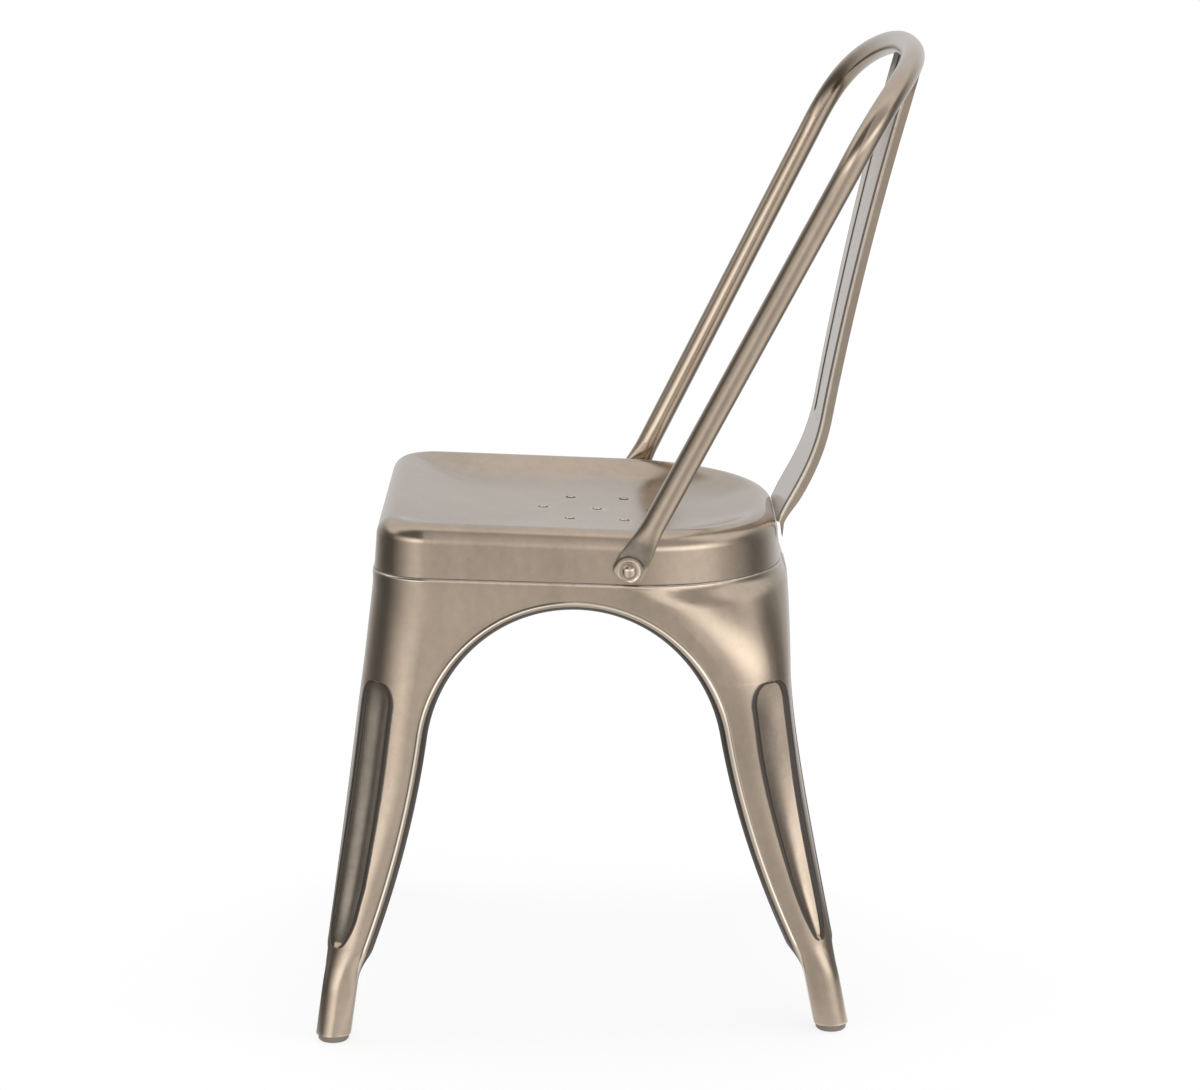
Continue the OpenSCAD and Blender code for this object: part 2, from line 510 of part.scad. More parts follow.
low_line_shares = [0.06, 0.095, 0.22, 0.36, 0.5, 0.64, 0.78, 0.89, 1];
line = concat([for (u = high_line_shares) high_line(u)], [for (v = low_line_shares) low_line(v)]);
function line_up(i) = unit(line[max(i - 1, 0)] - line[min(i + 1, len(line) - 1)]);
taper_power = 1.3;
function splat_half(z) = let (t = clamp01((z - splat_low_z) / (splat_high_z - splat_low_z)))
  lerp(splat_waist_half, splat_top_half, pow(t, taper_power));

// Section across the splat: distance out from the middle, then depth back from the face. Two
// grooves bound a slightly sunk panel, which ends squarely above the sweep.
fold_mid_share = 0.3;
fold_mid = fold_r * fold_mid_share;
fold_t_share = 0.7;
groove_share = 0.42;
panel_share = 0.4;
tail_start_share = 0.3;
tail_taper_share = 0.3;
function half_section(z, skin) = let (h = splat_half(z), t = skin * sheet_t, g = h * groove_share,
    d = groove_depth * clamp01((z - groove_end) / fold_r), k = t * fold_t_share,
    f = splat_flange * (1 - tail_taper_share * ease(1 - (z - splat_foot[1]) / sweep_len / tail_start_share)))
  [[h - t, f], [h - t, fold_r], [h - fold_mid - k, fold_mid + k], [h - fold_r, t],
    [g + groove_half, t], [g, d + t], [g - groove_half, d * panel_share + t]];
function full_section(z, skin) = let (a = half_section(z, skin), n = len(a) - 1)
  concat(a, [[0, a[n][1]]], [for (k = [n:-1:0]) [-a[k][0], a[k][1]]]);
function splat_row(i, skin) = let (up = line_up(i), back = [up[1], -up[0]], z = line[i][1])
  [for (q = full_section(z, skin)) let (p = line[i] + back * q[1]) [q[0], p[0], p[1]]];
// The top edge is cut round to fit under the tube
cope_r = rim_r + seat_gap;
function cope_row(skin) = let (up = line_up(0), back = [up[1], -up[0]])
  [for (q = full_section(line[0][1], skin)) let (
      x = abs(q[0]) / arm_top_half, s = arm_len + bend_rise * pow(1 - pow(x, bend_power), 1 / bend_power),
      c = hoop_pt(0, s), v = [c[1], c[2]] - line[0], off = v * back - q[1],
      p = line[0] + up * (v * up - sqrt(max(cope_r * cope_r / 4, cope_r * cope_r - off * off))) + back * q[1])
    [q[0], p[0], p[1]]];
// The lowest row drags the side flanges down behind the skirt as short tails
tail_inner_share = 0.6;
tail_y = seat_rear + skirt_flare + sheet_t;
function foot_splat_row(skin) = let (i = len(line) - 1, row = splat_row(i, skin), n = len(row) - 1, z = line[i][1])
  [for (k = [0:n]) let (j = min(k, n - k), x = row[k][0])
    j == 0 ? [x, tail_y, z - tail_drop] : j == 1 ? [x, tail_y - sheet_t, z - tail_drop * tail_inner_share] : row[k]];

module back_splat() placed() {
  n = len(line);
  rows = [for (skin = [0, 1]) concat([foot_splat_row(skin)], [for (i = [n - 2:-1:0]) splat_row(i, skin)], [cope_row(skin)])];
  cols = len(rows[0][0]);
  color(steel_tint) polyhedron(points = flat1([for (r = rows) flat1(r)]),
    faces = patch_faces(n + 1, cols, 0, false, [true, true, true, true]), convexity = 6);
}

// Rivet through the flattened tube and the skirt, with a domed head and a closed tail
rivet_face = arm_foot_half + flat_t / 2 + seat_gap;
head_rise_share = 0.29;
head_rise = rivet_head_d * head_rise_share;
tail_shares = [0.9, 0.8];
skirt_share = (rim_z(rivet_y) - roll_r - rivet_h - washer_d / 2) / (skirt_drop - roll_r);
tail_face = seat_half_w + skirt_flare * skirt_share - sheet_t - washer_t - seat_gap * 1.5;
dome_angles = [0:15:90];
module rivet() {
  grip = rivet_face - tail_face;
  head_r = rivet_head_d / 2;
  tail_r = head_r * tail_shares[0];
  tail_rise = head_rise * tail_shares[1];
  color(rivet_tint) translate([tail_face, rivet_y, rivet_h]) rotate([0, 90, 0]) rotate_extrude()
    polygon(concat([for (a = dome_angles) [tail_r * sin(a), -tail_rise * cos(a)]],
      [[rivet_shank_d / 2, 0], [rivet_shank_d / 2, grip]],
      [for (a = dome_angles) [head_r * cos(a), grip + head_rise * sin(a)]]));
}
module washer() color(rivet_tint) translate([tail_face + seat_gap / 3, rivet_y, rivet_h]) rotate([0, 90, 0]) difference() {
  cylinder(d = washer_d, h = washer_t);
  translate([0, 0, -overrun]) cylinder(d = rivet_shank_d + seat_gap, h = washer_t + overrun * 2);
}
module rivet_left() placed() rivet();
module rivet_right() placed() mirror([1, 0, 0]) rivet();
module washer_left() placed() washer();
module washer_right() placed() mirror([1, 0, 0]) washer();

// Foot glide: a bevelled cap below the steel and a stem inside the rolled foot
stem_shares = [0.35, 0.3];
stem_h = foot_d * stem_shares[1];
module glide(e) {
  r = foot_r - glide_bevel / 4;
  stem_r = foot_d * stem_shares[0];
  color(plastic_tint) translate([side_x(e, foot_z) - foot_r, e * (end_y(e, foot_z) - foot_r), 0]) rotate_extrude()
    polygon([[0, 0], [r - glide_bevel, 0], [r, glide_bevel], [r, glide_h], [stem_r, glide_h],
      [stem_r, glide_h + stem_h - glide_bevel], [stem_r - glide_bevel, glide_h + stem_h], [0, glide_h + stem_h]]);
}
module glide_front_left() placed() glide(-1);
module glide_front_right() placed() mirror([1, 0, 0]) glide(-1);
module glide_rear_left() placed() glide(1);
module glide_rear_right() placed() mirror([1, 0, 0]) glide(1);

// Cross brace: two flat bars from corner to corner, one lying on the other
function inner_corner(e, z) = let (r = high_r(e, (z - split_z) / (tangent_z(e) - split_z)), k = (r - sheet_t) / sqrt(2) - r)
  [side_x(e, z) + k, e * (end_y(e, z) + k)];
weld_gap = seat_gap * 3;
end_shares = [-1, -0.5, 0, 0.5, 1];
module brace_bar(level) {
  z = brace_h + level * brace_t;
  top = z + brace_t;
  a = inner_corner(-1, top);
  b = inner_corner(1, top);
  mid = [a[0] - b[0], a[1] + b[1]] / 2;
  span = norm([a[0] + b[0], a[1] - b[1]]) / 2 - weld_gap;
  turn = atan2(a[1] - b[1], a[0] + b[0]);
  r = front_leg_r - sheet_t * 2;
  ends = [for (k = end_shares) let (w = k * brace_w / 2) [span - r + sqrt(r * r - w * w), w]];
  color(steel_tint) translate([mid[0], mid[1], z]) rotate([0, 0, turn]) linear_extrude(height = brace_t)
    polygon(concat(ends, [for (q = ends) -q]));
}
module brace_lower() placed() brace_bar(0);
module brace_upper() placed() mirror([1, 0, 0]) brace_bar(1);

// Bumpers under the bars, which keep stacked chairs from rubbing
module bumper(e, level) {
  z = brace_h + level * brace_t;
  c = inner_corner(e, z);
  k = bumper_in / sqrt(2);
  color(rubber_tint) translate([c[0] - k, c[1] - e * k, z - bumper_h]) rotate_extrude()
    polygon([[0, 0], [bumper_d / 2 - glide_bevel, 0], [bumper_d / 2, glide_bevel], [bumper_d / 2, bumper_h], [0, bumper_h]]);
}
module bumper_front_left() placed() bumper(-1, 0);
module bumper_rear_right() placed() mirror([1, 0, 0]) bumper(1, 0);
module bumper_front_right() placed() mirror([1, 0, 0]) bumper(-1, 1);
module bumper_rear_left() placed() bumper(1, 1);

seat_pan();
leg_front_left();
leg_front_right();
leg_rear_left();
leg_rear_right();
glide_front_left();
glide_front_right();
glide_rear_left();
glide_rear_right();
back_hoop();
back_splat();
rivet_left();
rivet_right();
washer_left();
washer_right();
brace_upper();
brace_lower();
bumper_front_left();
bumper_front_right();
bumper_rear_left();
bumper_rear_right();
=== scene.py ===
from math import asin, atan2, copysign, cos, degrees, hypot, pi, radians, sin, sqrt

import bmesh
import bpy
import numpy as np
from mathutils import Matrix, Vector


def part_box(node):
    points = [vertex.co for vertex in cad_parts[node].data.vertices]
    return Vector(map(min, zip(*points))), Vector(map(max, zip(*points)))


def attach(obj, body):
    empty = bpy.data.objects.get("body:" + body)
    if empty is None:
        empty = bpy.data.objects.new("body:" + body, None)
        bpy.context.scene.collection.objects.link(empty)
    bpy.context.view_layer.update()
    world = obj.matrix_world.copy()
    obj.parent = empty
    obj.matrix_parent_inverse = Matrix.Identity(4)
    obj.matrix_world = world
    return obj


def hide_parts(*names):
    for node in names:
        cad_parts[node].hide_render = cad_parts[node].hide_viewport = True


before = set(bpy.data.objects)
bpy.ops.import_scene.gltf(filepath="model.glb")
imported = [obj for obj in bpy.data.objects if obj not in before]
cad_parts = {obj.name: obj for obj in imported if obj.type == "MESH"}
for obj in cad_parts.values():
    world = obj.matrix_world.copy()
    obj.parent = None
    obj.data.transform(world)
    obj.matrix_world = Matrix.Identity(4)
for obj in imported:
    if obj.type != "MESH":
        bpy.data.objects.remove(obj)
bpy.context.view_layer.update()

# ---------------- seat pan
# One sheet of 1.5 mm steel, dished for the sitter, rolled over a wide soft edge and drawn down
# into a deep skirt. Seven drain holes are punched through the dish after pressing. The legs are
# welded up behind its skirt, and the ends of the hoop are riveted to it.
seat_half_w, seat_front, seat_rear = 179.0, 175.0, 172.5
front_corner_r, rear_corner_r = 43.0, 136.0
seat_h, seat_fall, dish_depth, roll_r = 432.8, 14.7, 15.5, 17.0
skirt_drop, skirt_flare, sheet = 44.0, 2.2, 1.5
drain_r, drain_pitch, drain_side, drain_y = 4.5, 48.0, 47.0, 14.0
rim_slope = seat_fall / (seat_front + seat_rear)
hem_slope = rim_slope * 0.83  # the hem falls a little less to the back than the rim
middle_y = 34.5671  # the drawing's origin lies this far in front of the middle of the whole
shell_crest = roll_r * 1.2  # how far in from the skirt the dish begins


def rim_z(y): return seat_h - rim_slope * y
def hem_z(y): return seat_h - skirt_drop - hem_slope * y
def lerp(a, b, t): return a + (b - a) * t
def clamp01(t): return min(1.0, max(0.0, t))


def ease(t):
    c = clamp01(t)
    return c * c * (3 - 2 * c)


def smooth_through(xs, ys):
    """A curve through given points that never overshoots them."""
    xs, ys = np.array(xs, float), np.array(ys, float)
    h, d = np.diff(xs), np.diff(ys) / np.diff(xs)
    m = np.zeros(len(xs))
    m[0], m[-1] = d[0], d[-1]
    for k in range(1, len(xs) - 1):
        if d[k - 1] * d[k] > 0:
            a, b = 2 * h[k] + h[k - 1], h[k] + 2 * h[k - 1]
            m[k] = (a + b) / (a / d[k - 1] + b / d[k])

    def at(x):
        k = int(np.clip(np.searchsorted(xs, x) - 1, 0, len(h) - 1))
        t = np.clip((x - xs[k]) / h[k], 0, 1)
        return ((1 + 2 * t) * (1 - t) ** 2 * ys[k] + t * (1 - t) ** 2 * h[k] * m[k]
                + t * t * (3 - 2 * t) * ys[k + 1] + t * t * (t - 1) * h[k] * m[k + 1])
    return at


def place(points):
    """Millimetres about the middle of the feet, to metres in the shared frame."""
    p = np.array(points, float)[:, :3]
    p[:, 1] -= middle_y
    return p / 1000


def mesh_piece(name, points, faces, placed=True):
    """A mesh from points, whose fourth number is dark wash and painted shade, or below zero, rubbed wear and
    painted highlight.
    """
    points = np.array(points, float)
    mesh = bpy.data.meshes.new(name)
    mesh.from_pydata((place(points) if placed else points[:, :3]).tolist(), [], faces)
    mark = mesh.attributes.new("wash_and_painted_light", "FLOAT", "POINT")
    if points.shape[1] > 3:
        mark.data.foreach_set("value", points[:, 3])
    obj = bpy.data.objects.new(name, mesh)
    bpy.context.collection.objects.link(obj)
    return obj


def applied(obj):
    """The object's modifiers worked into its mesh."""
    graph = bpy.context.evaluated_depsgraph_get()
    mesh = bpy.data.meshes.new_from_object(obj.evaluated_get(graph))
    obj.modifiers.clear()
    obj.data = mesh
    return obj


def mark_hollows(mesh, shortest=0.05, sharpest=1.2, reach=1.1, rounds=4):
    """How hollow (above zero) or how proud the sheet is at each point, in turns of bend per millimetre."""
    n, m = len(mesh.vertices), len(mesh.edges)
    spots, normals, ends = np.empty(n * 3), np.empty(n * 3), np.empty(m * 2, int)
    mesh.vertices.foreach_get("co", spots)
    mesh.vertex_normals.foreach_get("vector", normals)
    mesh.edges.foreach_get("vertices", ends)
    spots, normals, (a, b) = spots.reshape(-1, 3) * 1000, normals.reshape(-1, 3), ends.reshape(-1, 2).T
    way = spots[b] - spots[a]
    length = np.maximum(np.linalg.norm(way, axis=1), shortest)

    def gather(at_a, at_b, weight):
        both, share = np.concatenate([a, b]), np.concatenate([weight, weight])
        total = np.bincount(both, np.concatenate([at_a, at_b]) * share, n)
        return total, np.bincount(both, share, n)

    bend, weight = gather(2 * (way * normals[a]).sum(1) / length ** 2,
                          -2 * (way * normals[b]).sum(1) / length ** 2, length)
    bend = np.clip(bend / np.maximum(weight, 1e-6), -sharpest, sharpest)
    near = np.exp(-(length / reach) ** 2)
    for _ in range(rounds):  # evened out with the points beside it
        total, weight = gather(bend[b], bend[a], near)
        bend = (bend + total) / (1 + weight)
    mark = mesh.attributes.new("hollow", "FLOAT", "POINT")
    mark.data.foreach_set("value", bend)


def shade(obj, sharp_over=38, seams=(), seam_reach=0.003):
    """Smooth faces with sharp corners kept, and the marks for the finish."""
    for polygon in obj.data.polygons:
        polygon.use_smooth = True
    obj.data.set_sharp_from_angle(angle=radians(sharp_over))
    mark_hollows(obj.data)
    for axis, at in seams:  # a ground weld shows no edge
        for spot, mark in zip(obj.data.vertices, obj.data.attributes["hollow"].data):
            if abs(spot.co[axis] - at) < seam_reach:
                mark.value = 0
    return obj


def plan_ring(inset):
    """The seat's outline from above, drawn in by the inset."""
    fx, fy, fr = seat_half_w - front_corner_r, seat_front - front_corner_r, front_corner_r - inset
    bx, by, br = seat_half_w - rear_corner_r, seat_rear - rear_corner_r, rear_corner_r - inset
    corners = ((bx, by, br, 0, 40), (-bx, by, br, 90, 40), (-fx, -fy, fr, 180, 20), (fx, -fy, fr, 270, 20))
    ring = []
    for cx, cy, r, start, steps in corners:
        arc = [radians(start + 90 * k / steps) for k in range(steps + 1)]
        ring += [(cx + r * cos(a), cy + r * sin(a)) for a in arc]
        # the straight run on to the next corner
        nx, ny = {0: (-bx, by + br), 90: (-fx - fr, -fy), 180: (fx, -fy - fr), 270: (bx + br, by)}[start]
        x0, y0 = ring[-1]
        cuts = 3 if start == 0 else 12
        ring += [(lerp(x0, nx, k / cuts), lerp(y0, ny, k / cuts)) for k in range(1, cuts)]
    return ring


# depth of the dish by the share of the way out, and the places of the rings in dish, roll and skirt
dish_share = smooth_through([0, 0.4, 0.62, 0.78, 0.88, 0.95, 1], [1, 0.965, 0.88, 0.69, 0.42, 0.16, 0])
dish_steps = [0.02, 0.1, 0.2, 0.3, 0.4, 0.48, 0.55, 0.6, 0.65, 0.7, 0.74, 0.78, 0.815, 0.85, 0.88, 0.91,
              0.935, 0.96, 0.98]
roll_steps = 16
skirt_steps = [0.25, 0.5, 0.75, 0.92, 0.96, 1]
hem_painted_shade = [0.35, 1]  # painted shade lies along the hem, where the gap under the skirt is in shadow


def seat_rings(under):
    """Rings from the middle of the dish to the hem, on the top face or that far under it."""
    rings = []
    crest = plan_ring(shell_crest)
    for s in dish_steps:
        rings.append([(x * s, y * s, rim_z(y * s) - dish_depth * dish_share(s) - under) for x, y in crest])
    rings.append([(x, y, rim_z(y) - under) for x, y in crest])
    for k in range(roll_steps + 1):
        a = radians(90 * k / roll_steps)
        inset, drop = roll_r - (roll_r - under) * sin(a), roll_r - (roll_r - under) * cos(a)
        rings.append([(x, y, rim_z(y) - drop) for x, y in plan_ring(inset)])
    ends = plan_ring(under - skirt_flare)
    wall = plan_ring(under)
    for k in skirt_steps:
        fall = [lerp(rim_z(w[1]) - roll_r, hem_z(e[1]), k) for w, e in zip(wall, ends)]
        rings.append([(lerp(w[0], e[0], k), lerp(w[1], e[1], k), z) for w, e, z in zip(wall, ends, fall)])
    # the hem's painted shade goes on the last rings of the skirt
    ring_shades = [0] * (len(rings) - len(hem_painted_shade)) + hem_painted_shade
    return [[(*point, wash_and_painted_light) for point in ring] for ring, wash_and_painted_light in zip(rings, ring_shades)]


def round_faces(rings, around, closed=False):
    """Four-sided faces between rings of points, and from the last ring to the first if closed."""
    pairs = [(i * around, (i + 1) % rings * around) for i in range(rings if closed else rings - 1)]
    return [(a + j, b + j, b + (j + 1) % around, a + (j + 1) % around) for a, b in pairs for j in range(around)]


rings = seat_rings(0) + seat_rings(sheet)[::-1]
around, last = len(rings[0]), len(rings) - 1
faces = [(a, d, c, b) for a, b, c, d in round_faces(len(rings), around)]
faces += [tuple(range(around))[::-1], tuple(last * around + j for j in range(around))]
seat = mesh_piece("dished_seat", [p for r in rings for p in r], faces)


def turned(name, profile, steps=40):
    """A solid turned about Z from (radius, height) pairs that start and end on the axis."""
    points, faces, m = [], [], len(profile) - 2
    for k in range(steps):
        a = 2 * pi * k / steps
        points += [(r * cos(a), r * sin(a), z) for r, z in profile[1:-1]]
    low, high = len(points), len(points) + 1
    points += [(0, 0, profile[0][1]), (0, 0, profile[-1][1])]
    for k in range(steps):
        a, b = k * m, (k + 1) % steps * m
        faces += [(a + i, b + i, b + i + 1, a + i + 1) for i in range(m - 1)]
        faces += [(low, b, a), (high, a + m - 1, b + m - 1)]
    return mesh_piece(name, np.array(points) / 1000, faces, placed=False)


def repeated(name, part, spots, finish, turns=None, fit=1.0):
    """Geometry Nodes: one turned part set on each of several spots, as one plain mesh."""
    holder = mesh_piece(name, spots, [])
    turn = holder.data.attributes.new("turn", "FLOAT_VECTOR", "POINT")
    for k, value in enumerate(turns or [(0, 0, 0)] * len(spots)):
        turn.data[k].vector = value
    tree = bpy.data.node_groups.new(name + "_set", "GeometryNodeTree")
    face = tree.interface
    for label, kind, way in (("Spots", "NodeSocketGeometry", "INPUT"),
                             ("Turned part", "NodeSocketObject", "INPUT"),
                             ("Fit", "NodeSocketFloat", "INPUT"),
                             ("Finish", "NodeSocketMaterial", "INPUT"),
                             ("Pieces", "NodeSocketGeometry", "OUTPUT")):
        face.new_socket(name=label, in_out=way, socket_type=kind)
    add, join = tree.nodes.new, tree.links.new
    start, end = add("NodeGroupInput"), add("NodeGroupOutput")
    info, turn_in = add("GeometryNodeObjectInfo"), add("GeometryNodeInputNamedAttribute")
    turn_in.data_type = "FLOAT_VECTOR"
    turn_in.inputs["Name"].default_value = "turn"
    to_turn, on_spots = add("FunctionNodeEulerToRotation"), add("GeometryNodeInstanceOnPoints")
    plain, dress = add("GeometryNodeRealizeInstances"), add("GeometryNodeSetMaterial")
    for giver, out, taker, into in ((start, "Turned part", info, "Object"), (start, "Spots", on_spots, "Points"),
                                    (info, "Geometry", on_spots, "Instance"), (turn_in, "Attribute", to_turn, 0),
                                    (to_turn, 0, on_spots, "Rotation"), (on_spots, 0, plain, 0),
                                    (start, "Fit", on_spots, "Scale"),
                                    (plain, 0, dress, "Geometry"), (start, "Finish", dress, "Material"),
                                    (dress, 0, end, 0)):
        join(giver.outputs[out], taker.inputs[into])
    maker = holder.modifiers.new("set", "NODES")
    maker.node_group = tree
    for item in face.items_tree:
        if item.item_type == "SOCKET" and item.in_out == "INPUT" and item.name != "Spots":
            maker[item.identifier] = {"Turned part": part, "Fit": fit, "Finish": finish}[item.name]
    applied(holder)
    bpy.data.objects.remove(part)
    return holder


# the punch that cuts the drain holes, with a small countersink
punch_len, punch_head, punch_down = 14.0, 4.0, 1.3
punch = turned("drain_punch", [(0, -punch_len), (drain_r, -punch_len), (drain_r, 1.2), (drain_r + 0.35, 1.75),
                               (drain_r + 1.5, punch_head), (0, punch_head)], 32)
drain_spots = [(0, drain_y + k * drain_pitch) for k in (-1, 0, 1)]
drain_spots += [(sx * drain_side, drain_y + sy * drain_pitch / 2) for sx in (-1, 1) for sy in (-1, 1)]
drain_spots = [(x, y, rim_z(y) - dish_depth - punch_down) for x, y in drain_spots]


class Val:
    """A shader socket that can be used in sums, so that a pattern reads as arithmetic."""
    def __init__(self, finish, socket):
        self.finish, self.socket = finish, socket

    def math(self, operation, other, first=False):
        pair = [other, self] if first else [self, other]
        return self.finish.make("ShaderNodeMath", {"operation": operation}, dict(enumerate(pair)))

    def beside(self, name):
        """Another output of the node that this one comes from."""
        return Val(self.finish, self.socket.node.outputs[name])

    def __add__(self, o): return self.math("ADD", o)
    def __radd__(self, o): return self.math("ADD", o)
    def __sub__(self, o): return self.math("SUBTRACT", o)
    def __rsub__(self, o): return self.math("SUBTRACT", o, True)
    def __mul__(self, o): return self.math("MULTIPLY", o)
    def __rmul__(self, o): return self.math("MULTIPLY", o)
    def __truediv__(self, o): return self.math("DIVIDE", o)
    def most(self, o): return self.math("MAXIMUM", o)


class Finish:
    """One material, world or group of nodes being written."""
    def __init__(self, name, owner=None):
        self.owner = owner or bpy.data.materials.new(name)
        self.owner.use_nodes = True
        self.tree = self.owner.node_tree
        self.tree.nodes.clear()

    def make(self, kind, settings=None, values=None, out=0):
        node = self.tree.nodes.new(kind)
        for key, value in (settings or {}).items():
            if key == "stops":
                ramp = node.color_ramp
                while len(ramp.elements) > 1:
                    ramp.elements.remove(ramp.elements[-1])
                for k, (spot, grey) in enumerate(value):
                    stop = ramp.elements[0] if k == 0 else ramp.elements.new(spot)
                    stop.position, stop.color = spot, (grey, grey, grey, 1)
            else:
                setattr(node, key, value)
        for key, value in (values or {}).items():
            if isinstance(value, Val):
                self.tree.links.new(value.socket, node.inputs[key])
            elif isinstance(value, tuple) and len(value) == 3 and node.inputs[key].type == "RGBA":
                node.inputs[key].default_value = (*value, 1)
            else:
                node.inputs[key].default_value = value
        return Val(self, node.outputs[out])

    def spots(self, scale=1.0, stretch=(1, 1, 1), detail=3.0, rough=0.5, seed=0.0):
        """Noise in the piece's own space."""
        where = self.make("ShaderNodeTexCoord", out="Object")
        mapped = self.make("ShaderNodeMapping", {}, {
            "Vector": where, "Scale": stretch, "Location": (seed, seed * 0.7, -seed)})
        return self.make("ShaderNodeTexNoise", {}, {
            "Vector": mapped, "Scale": scale, "Detail": detail, "Roughness": rough})

    def ramp(self, value, stops, mode="EASE"):
        made = self.make("ShaderNodeValToRGB", {"stops": stops}, {"Fac": value})
        made.socket.node.color_ramp.interpolation = mode
        return made

    def span(self, value, low, high, to_low=0.0, to_high=1.0, how="LINEAR"):
        """The value's way from low to high, held within the two ends."""
        return self.make("ShaderNodeMapRange", {"interpolation_type": how}, {
            "Value": value, "From Min": low, "From Max": high, "To Min": to_low, "To Max": to_high})

    def step(self, value, low, high):
        return self.span(value, low, high, how="SMOOTHSTEP")

    def blend(self, how, share, a, b):
        return self.make("ShaderNodeMix", {"data_type": "RGBA", "blend_type": how}, {0: share, 6: a, 7: b}, out=2)

    def times(self, colour, factor):
        grey = self.make("ShaderNodeCombineColor", {}, {0: factor, 1: factor, 2: factor})
        return self.blend("MULTIPLY", 1.0, colour, grey)

    def done(self, shader, kind="ShaderNodeOutputMaterial"):
        out = self.tree.nodes.new(kind)
        self.tree.links.new(shader.socket, out.inputs["Surface"])
        return self.owner


def steel_with_wear_and_painted_light(name, tone=(0.43, 0.345, 0.265), rough=0.2):
    """Bronze-grey finish, clear coated: a dark wash and painted shade in the hollows, and rubbed wear and painted
    highlights pale on the edges.
    """
    pale_wear_and_painted_highlight, dark_wash_and_painted_shade = (0.80, 0.74, 0.65), (0.022, 0.017, 0.013)
    f = Finish(name)
    cloud = f.spots(5, detail=3, seed=1.3)
    streak = f.spots(26, stretch=(1, 1, 0.22), detail=4, rough=0.55, seed=7.7)
    mottle = f.spots(110, detail=4, rough=0.6, seed=4.1)
    grain = f.spots(900, detail=2, rough=0.6, seed=2.2)
    bend = f.make("ShaderNodeAttribute", {"attribute_name": "hollow"}, out="Fac") * 1.6
    laid = f.make("ShaderNodeAttribute", {"attribute_name": "wash_and_painted_light"}, out="Fac")
    ragged = (mottle - 0.5) * 0.3 + (streak - 0.5) * 0.3
    # hollow is the dark mix: the sheet's hollows, plus the laid dark wash and painted shade; proud is the pale
    # mix: its proud edges, plus rubbed wear and painted highlights
    hollow = f.step(bend.most(laid) + ragged, 0.2, 0.8)
    proud = f.step(0.0 - bend - laid * 2.5 + ragged, 0.15, 0.9)
    tint = f.span(cloud * 0.4 + streak * 0.35 + mottle * 0.25, 0.38, 0.62, 0.86, 1.08)
    fleck = f.span(grain, 0.3, 0.7, 0.97, 1.03)
    colour = f.times(tone, tint * fleck)
    colour = f.blend("MIX", proud * 0.55, colour, pale_wear_and_painted_highlight)
    colour = f.blend("MIX", hollow * 0.92, colour, dark_wash_and_painted_shade)
    roughness = rough - 0.03 + streak * 0.05 + mottle * 0.03 + hollow * 0.25
    bump = f.make("ShaderNodeBump", {}, {"Strength": 0.012, "Distance": 0.0006, "Height": grain * 0.3 + mottle})
    return f.done(f.make("ShaderNodeBsdfPrincipled", {}, {
        "Base Color": colour, "Metallic": 1.0 - hollow * 0.85, "Roughness": roughness, "Normal": bump,
        "Coat Weight": 0.4 - hollow * 0.36, "Coat Roughness": 0.12, "Coat IOR": 1.5}))


steel = steel_with_wear_and_painted_light("steel_with_wear_and_painted_light")
cutter = repeated("drain_cutter", punch, drain_spots, steel)
cut = seat.modifiers.new("drains", "BOOLEAN")
cut.operation, cut.solver, cut.object = "DIFFERENCE", "EXACT", cutter
applied(seat)
bpy.data.objects.remove(cutter)
seat.data.materials.clear()
seat.data.materials.append(steel)
shade(seat)
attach(seat, "root")
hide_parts("seat_pan")

# ---------------- legs
# Four pressings of the same sheet. Each is an angle that closes into a rolled foot, opens into two
# arched aprons with a beaded and returned edge, and has a flute down its outer corner.
# The top edge is joggled in and welded up behind the skirt of the seat.
foot_d, foot_front, foot_rear = 27.0, 227.5, 228.5
foot_side = {-1: 238.0, 1: 213.0}  # by the end of the chair, e: -1 is the front and 1 the rear
foot_close, foot_open, foot_z = 42.0, 78.0, 6.0
arch_top, arch_half_side, arch_half_end, arch_round, arch_shift = 366.0, 117.6, 110.0, 110.0, 7.6
bead_w, lip_d, bead_room = 9.0, 9.0, 1.6
flute_depth, flute_top, flute_low, flute_half = 5.0, 303.0, 78.0, 17.6
slit_w, seat_gap, apron_swell, swell_run = 3.0, 0.3, 4.2, 12.0
leg_r, widen, ankle_r, leg_growth = {-1: 44.0, 1: 46.0}, {-1: 1.0, 1: 2.8}, foot_d * 0.72, 0.85
side_soft, side_bow, front_bow, rear_soft = 0.06, 0.3, 0.08, 0.28
split_z, rear_top = arch_top * 0.653, arch_top * 0.816
hem_ref = hem_z(seat_rear) - 0.6
seam_y = -arch_shift
shoulder = 2.0


def soft(t, k):
    """A straight rise that starts in a bend."""
    c = max(0.0, t)
    return c * c * (1 + k) / (c + k)


def bow(t, b): return t * (1 - b) + b * t * abs(t)  # a line bowed by the share b


def side_x(e, z):
    x = seat_half_w + skirt_flare
    return x + (foot_side[e] - x) * bow(soft((arch_top - z) / arch_top, side_soft), side_bow)


def end_y(e, z):
    if e < 0:
        y = seat_front + skirt_flare
        return y + (foot_front - y) * bow(max(0.0, (hem_ref - z) / hem_ref), front_bow)
    y = seat_rear + skirt_flare + apron_swell * ease((apron_z(seat_rear) - z) / swell_run)
    return y + (foot_rear - y) * soft((rear_top - z) / rear_top, rear_soft)


def arch_half(e, side, d):
    """Half the width of the arch, at the side or the end of the chair, at a depth d below its top."""
    half = arch_half_side if side else arch_half_end
    foot = end_y(e, foot_close) + e * arch_shift if side else side_x(e, foot_close)
    c, f = 1 - min(d, arch_round) / arch_round, d / (arch_top - foot_close)
    return half * sqrt(1 - c * c) + (foot - foot_d - half) * f * f


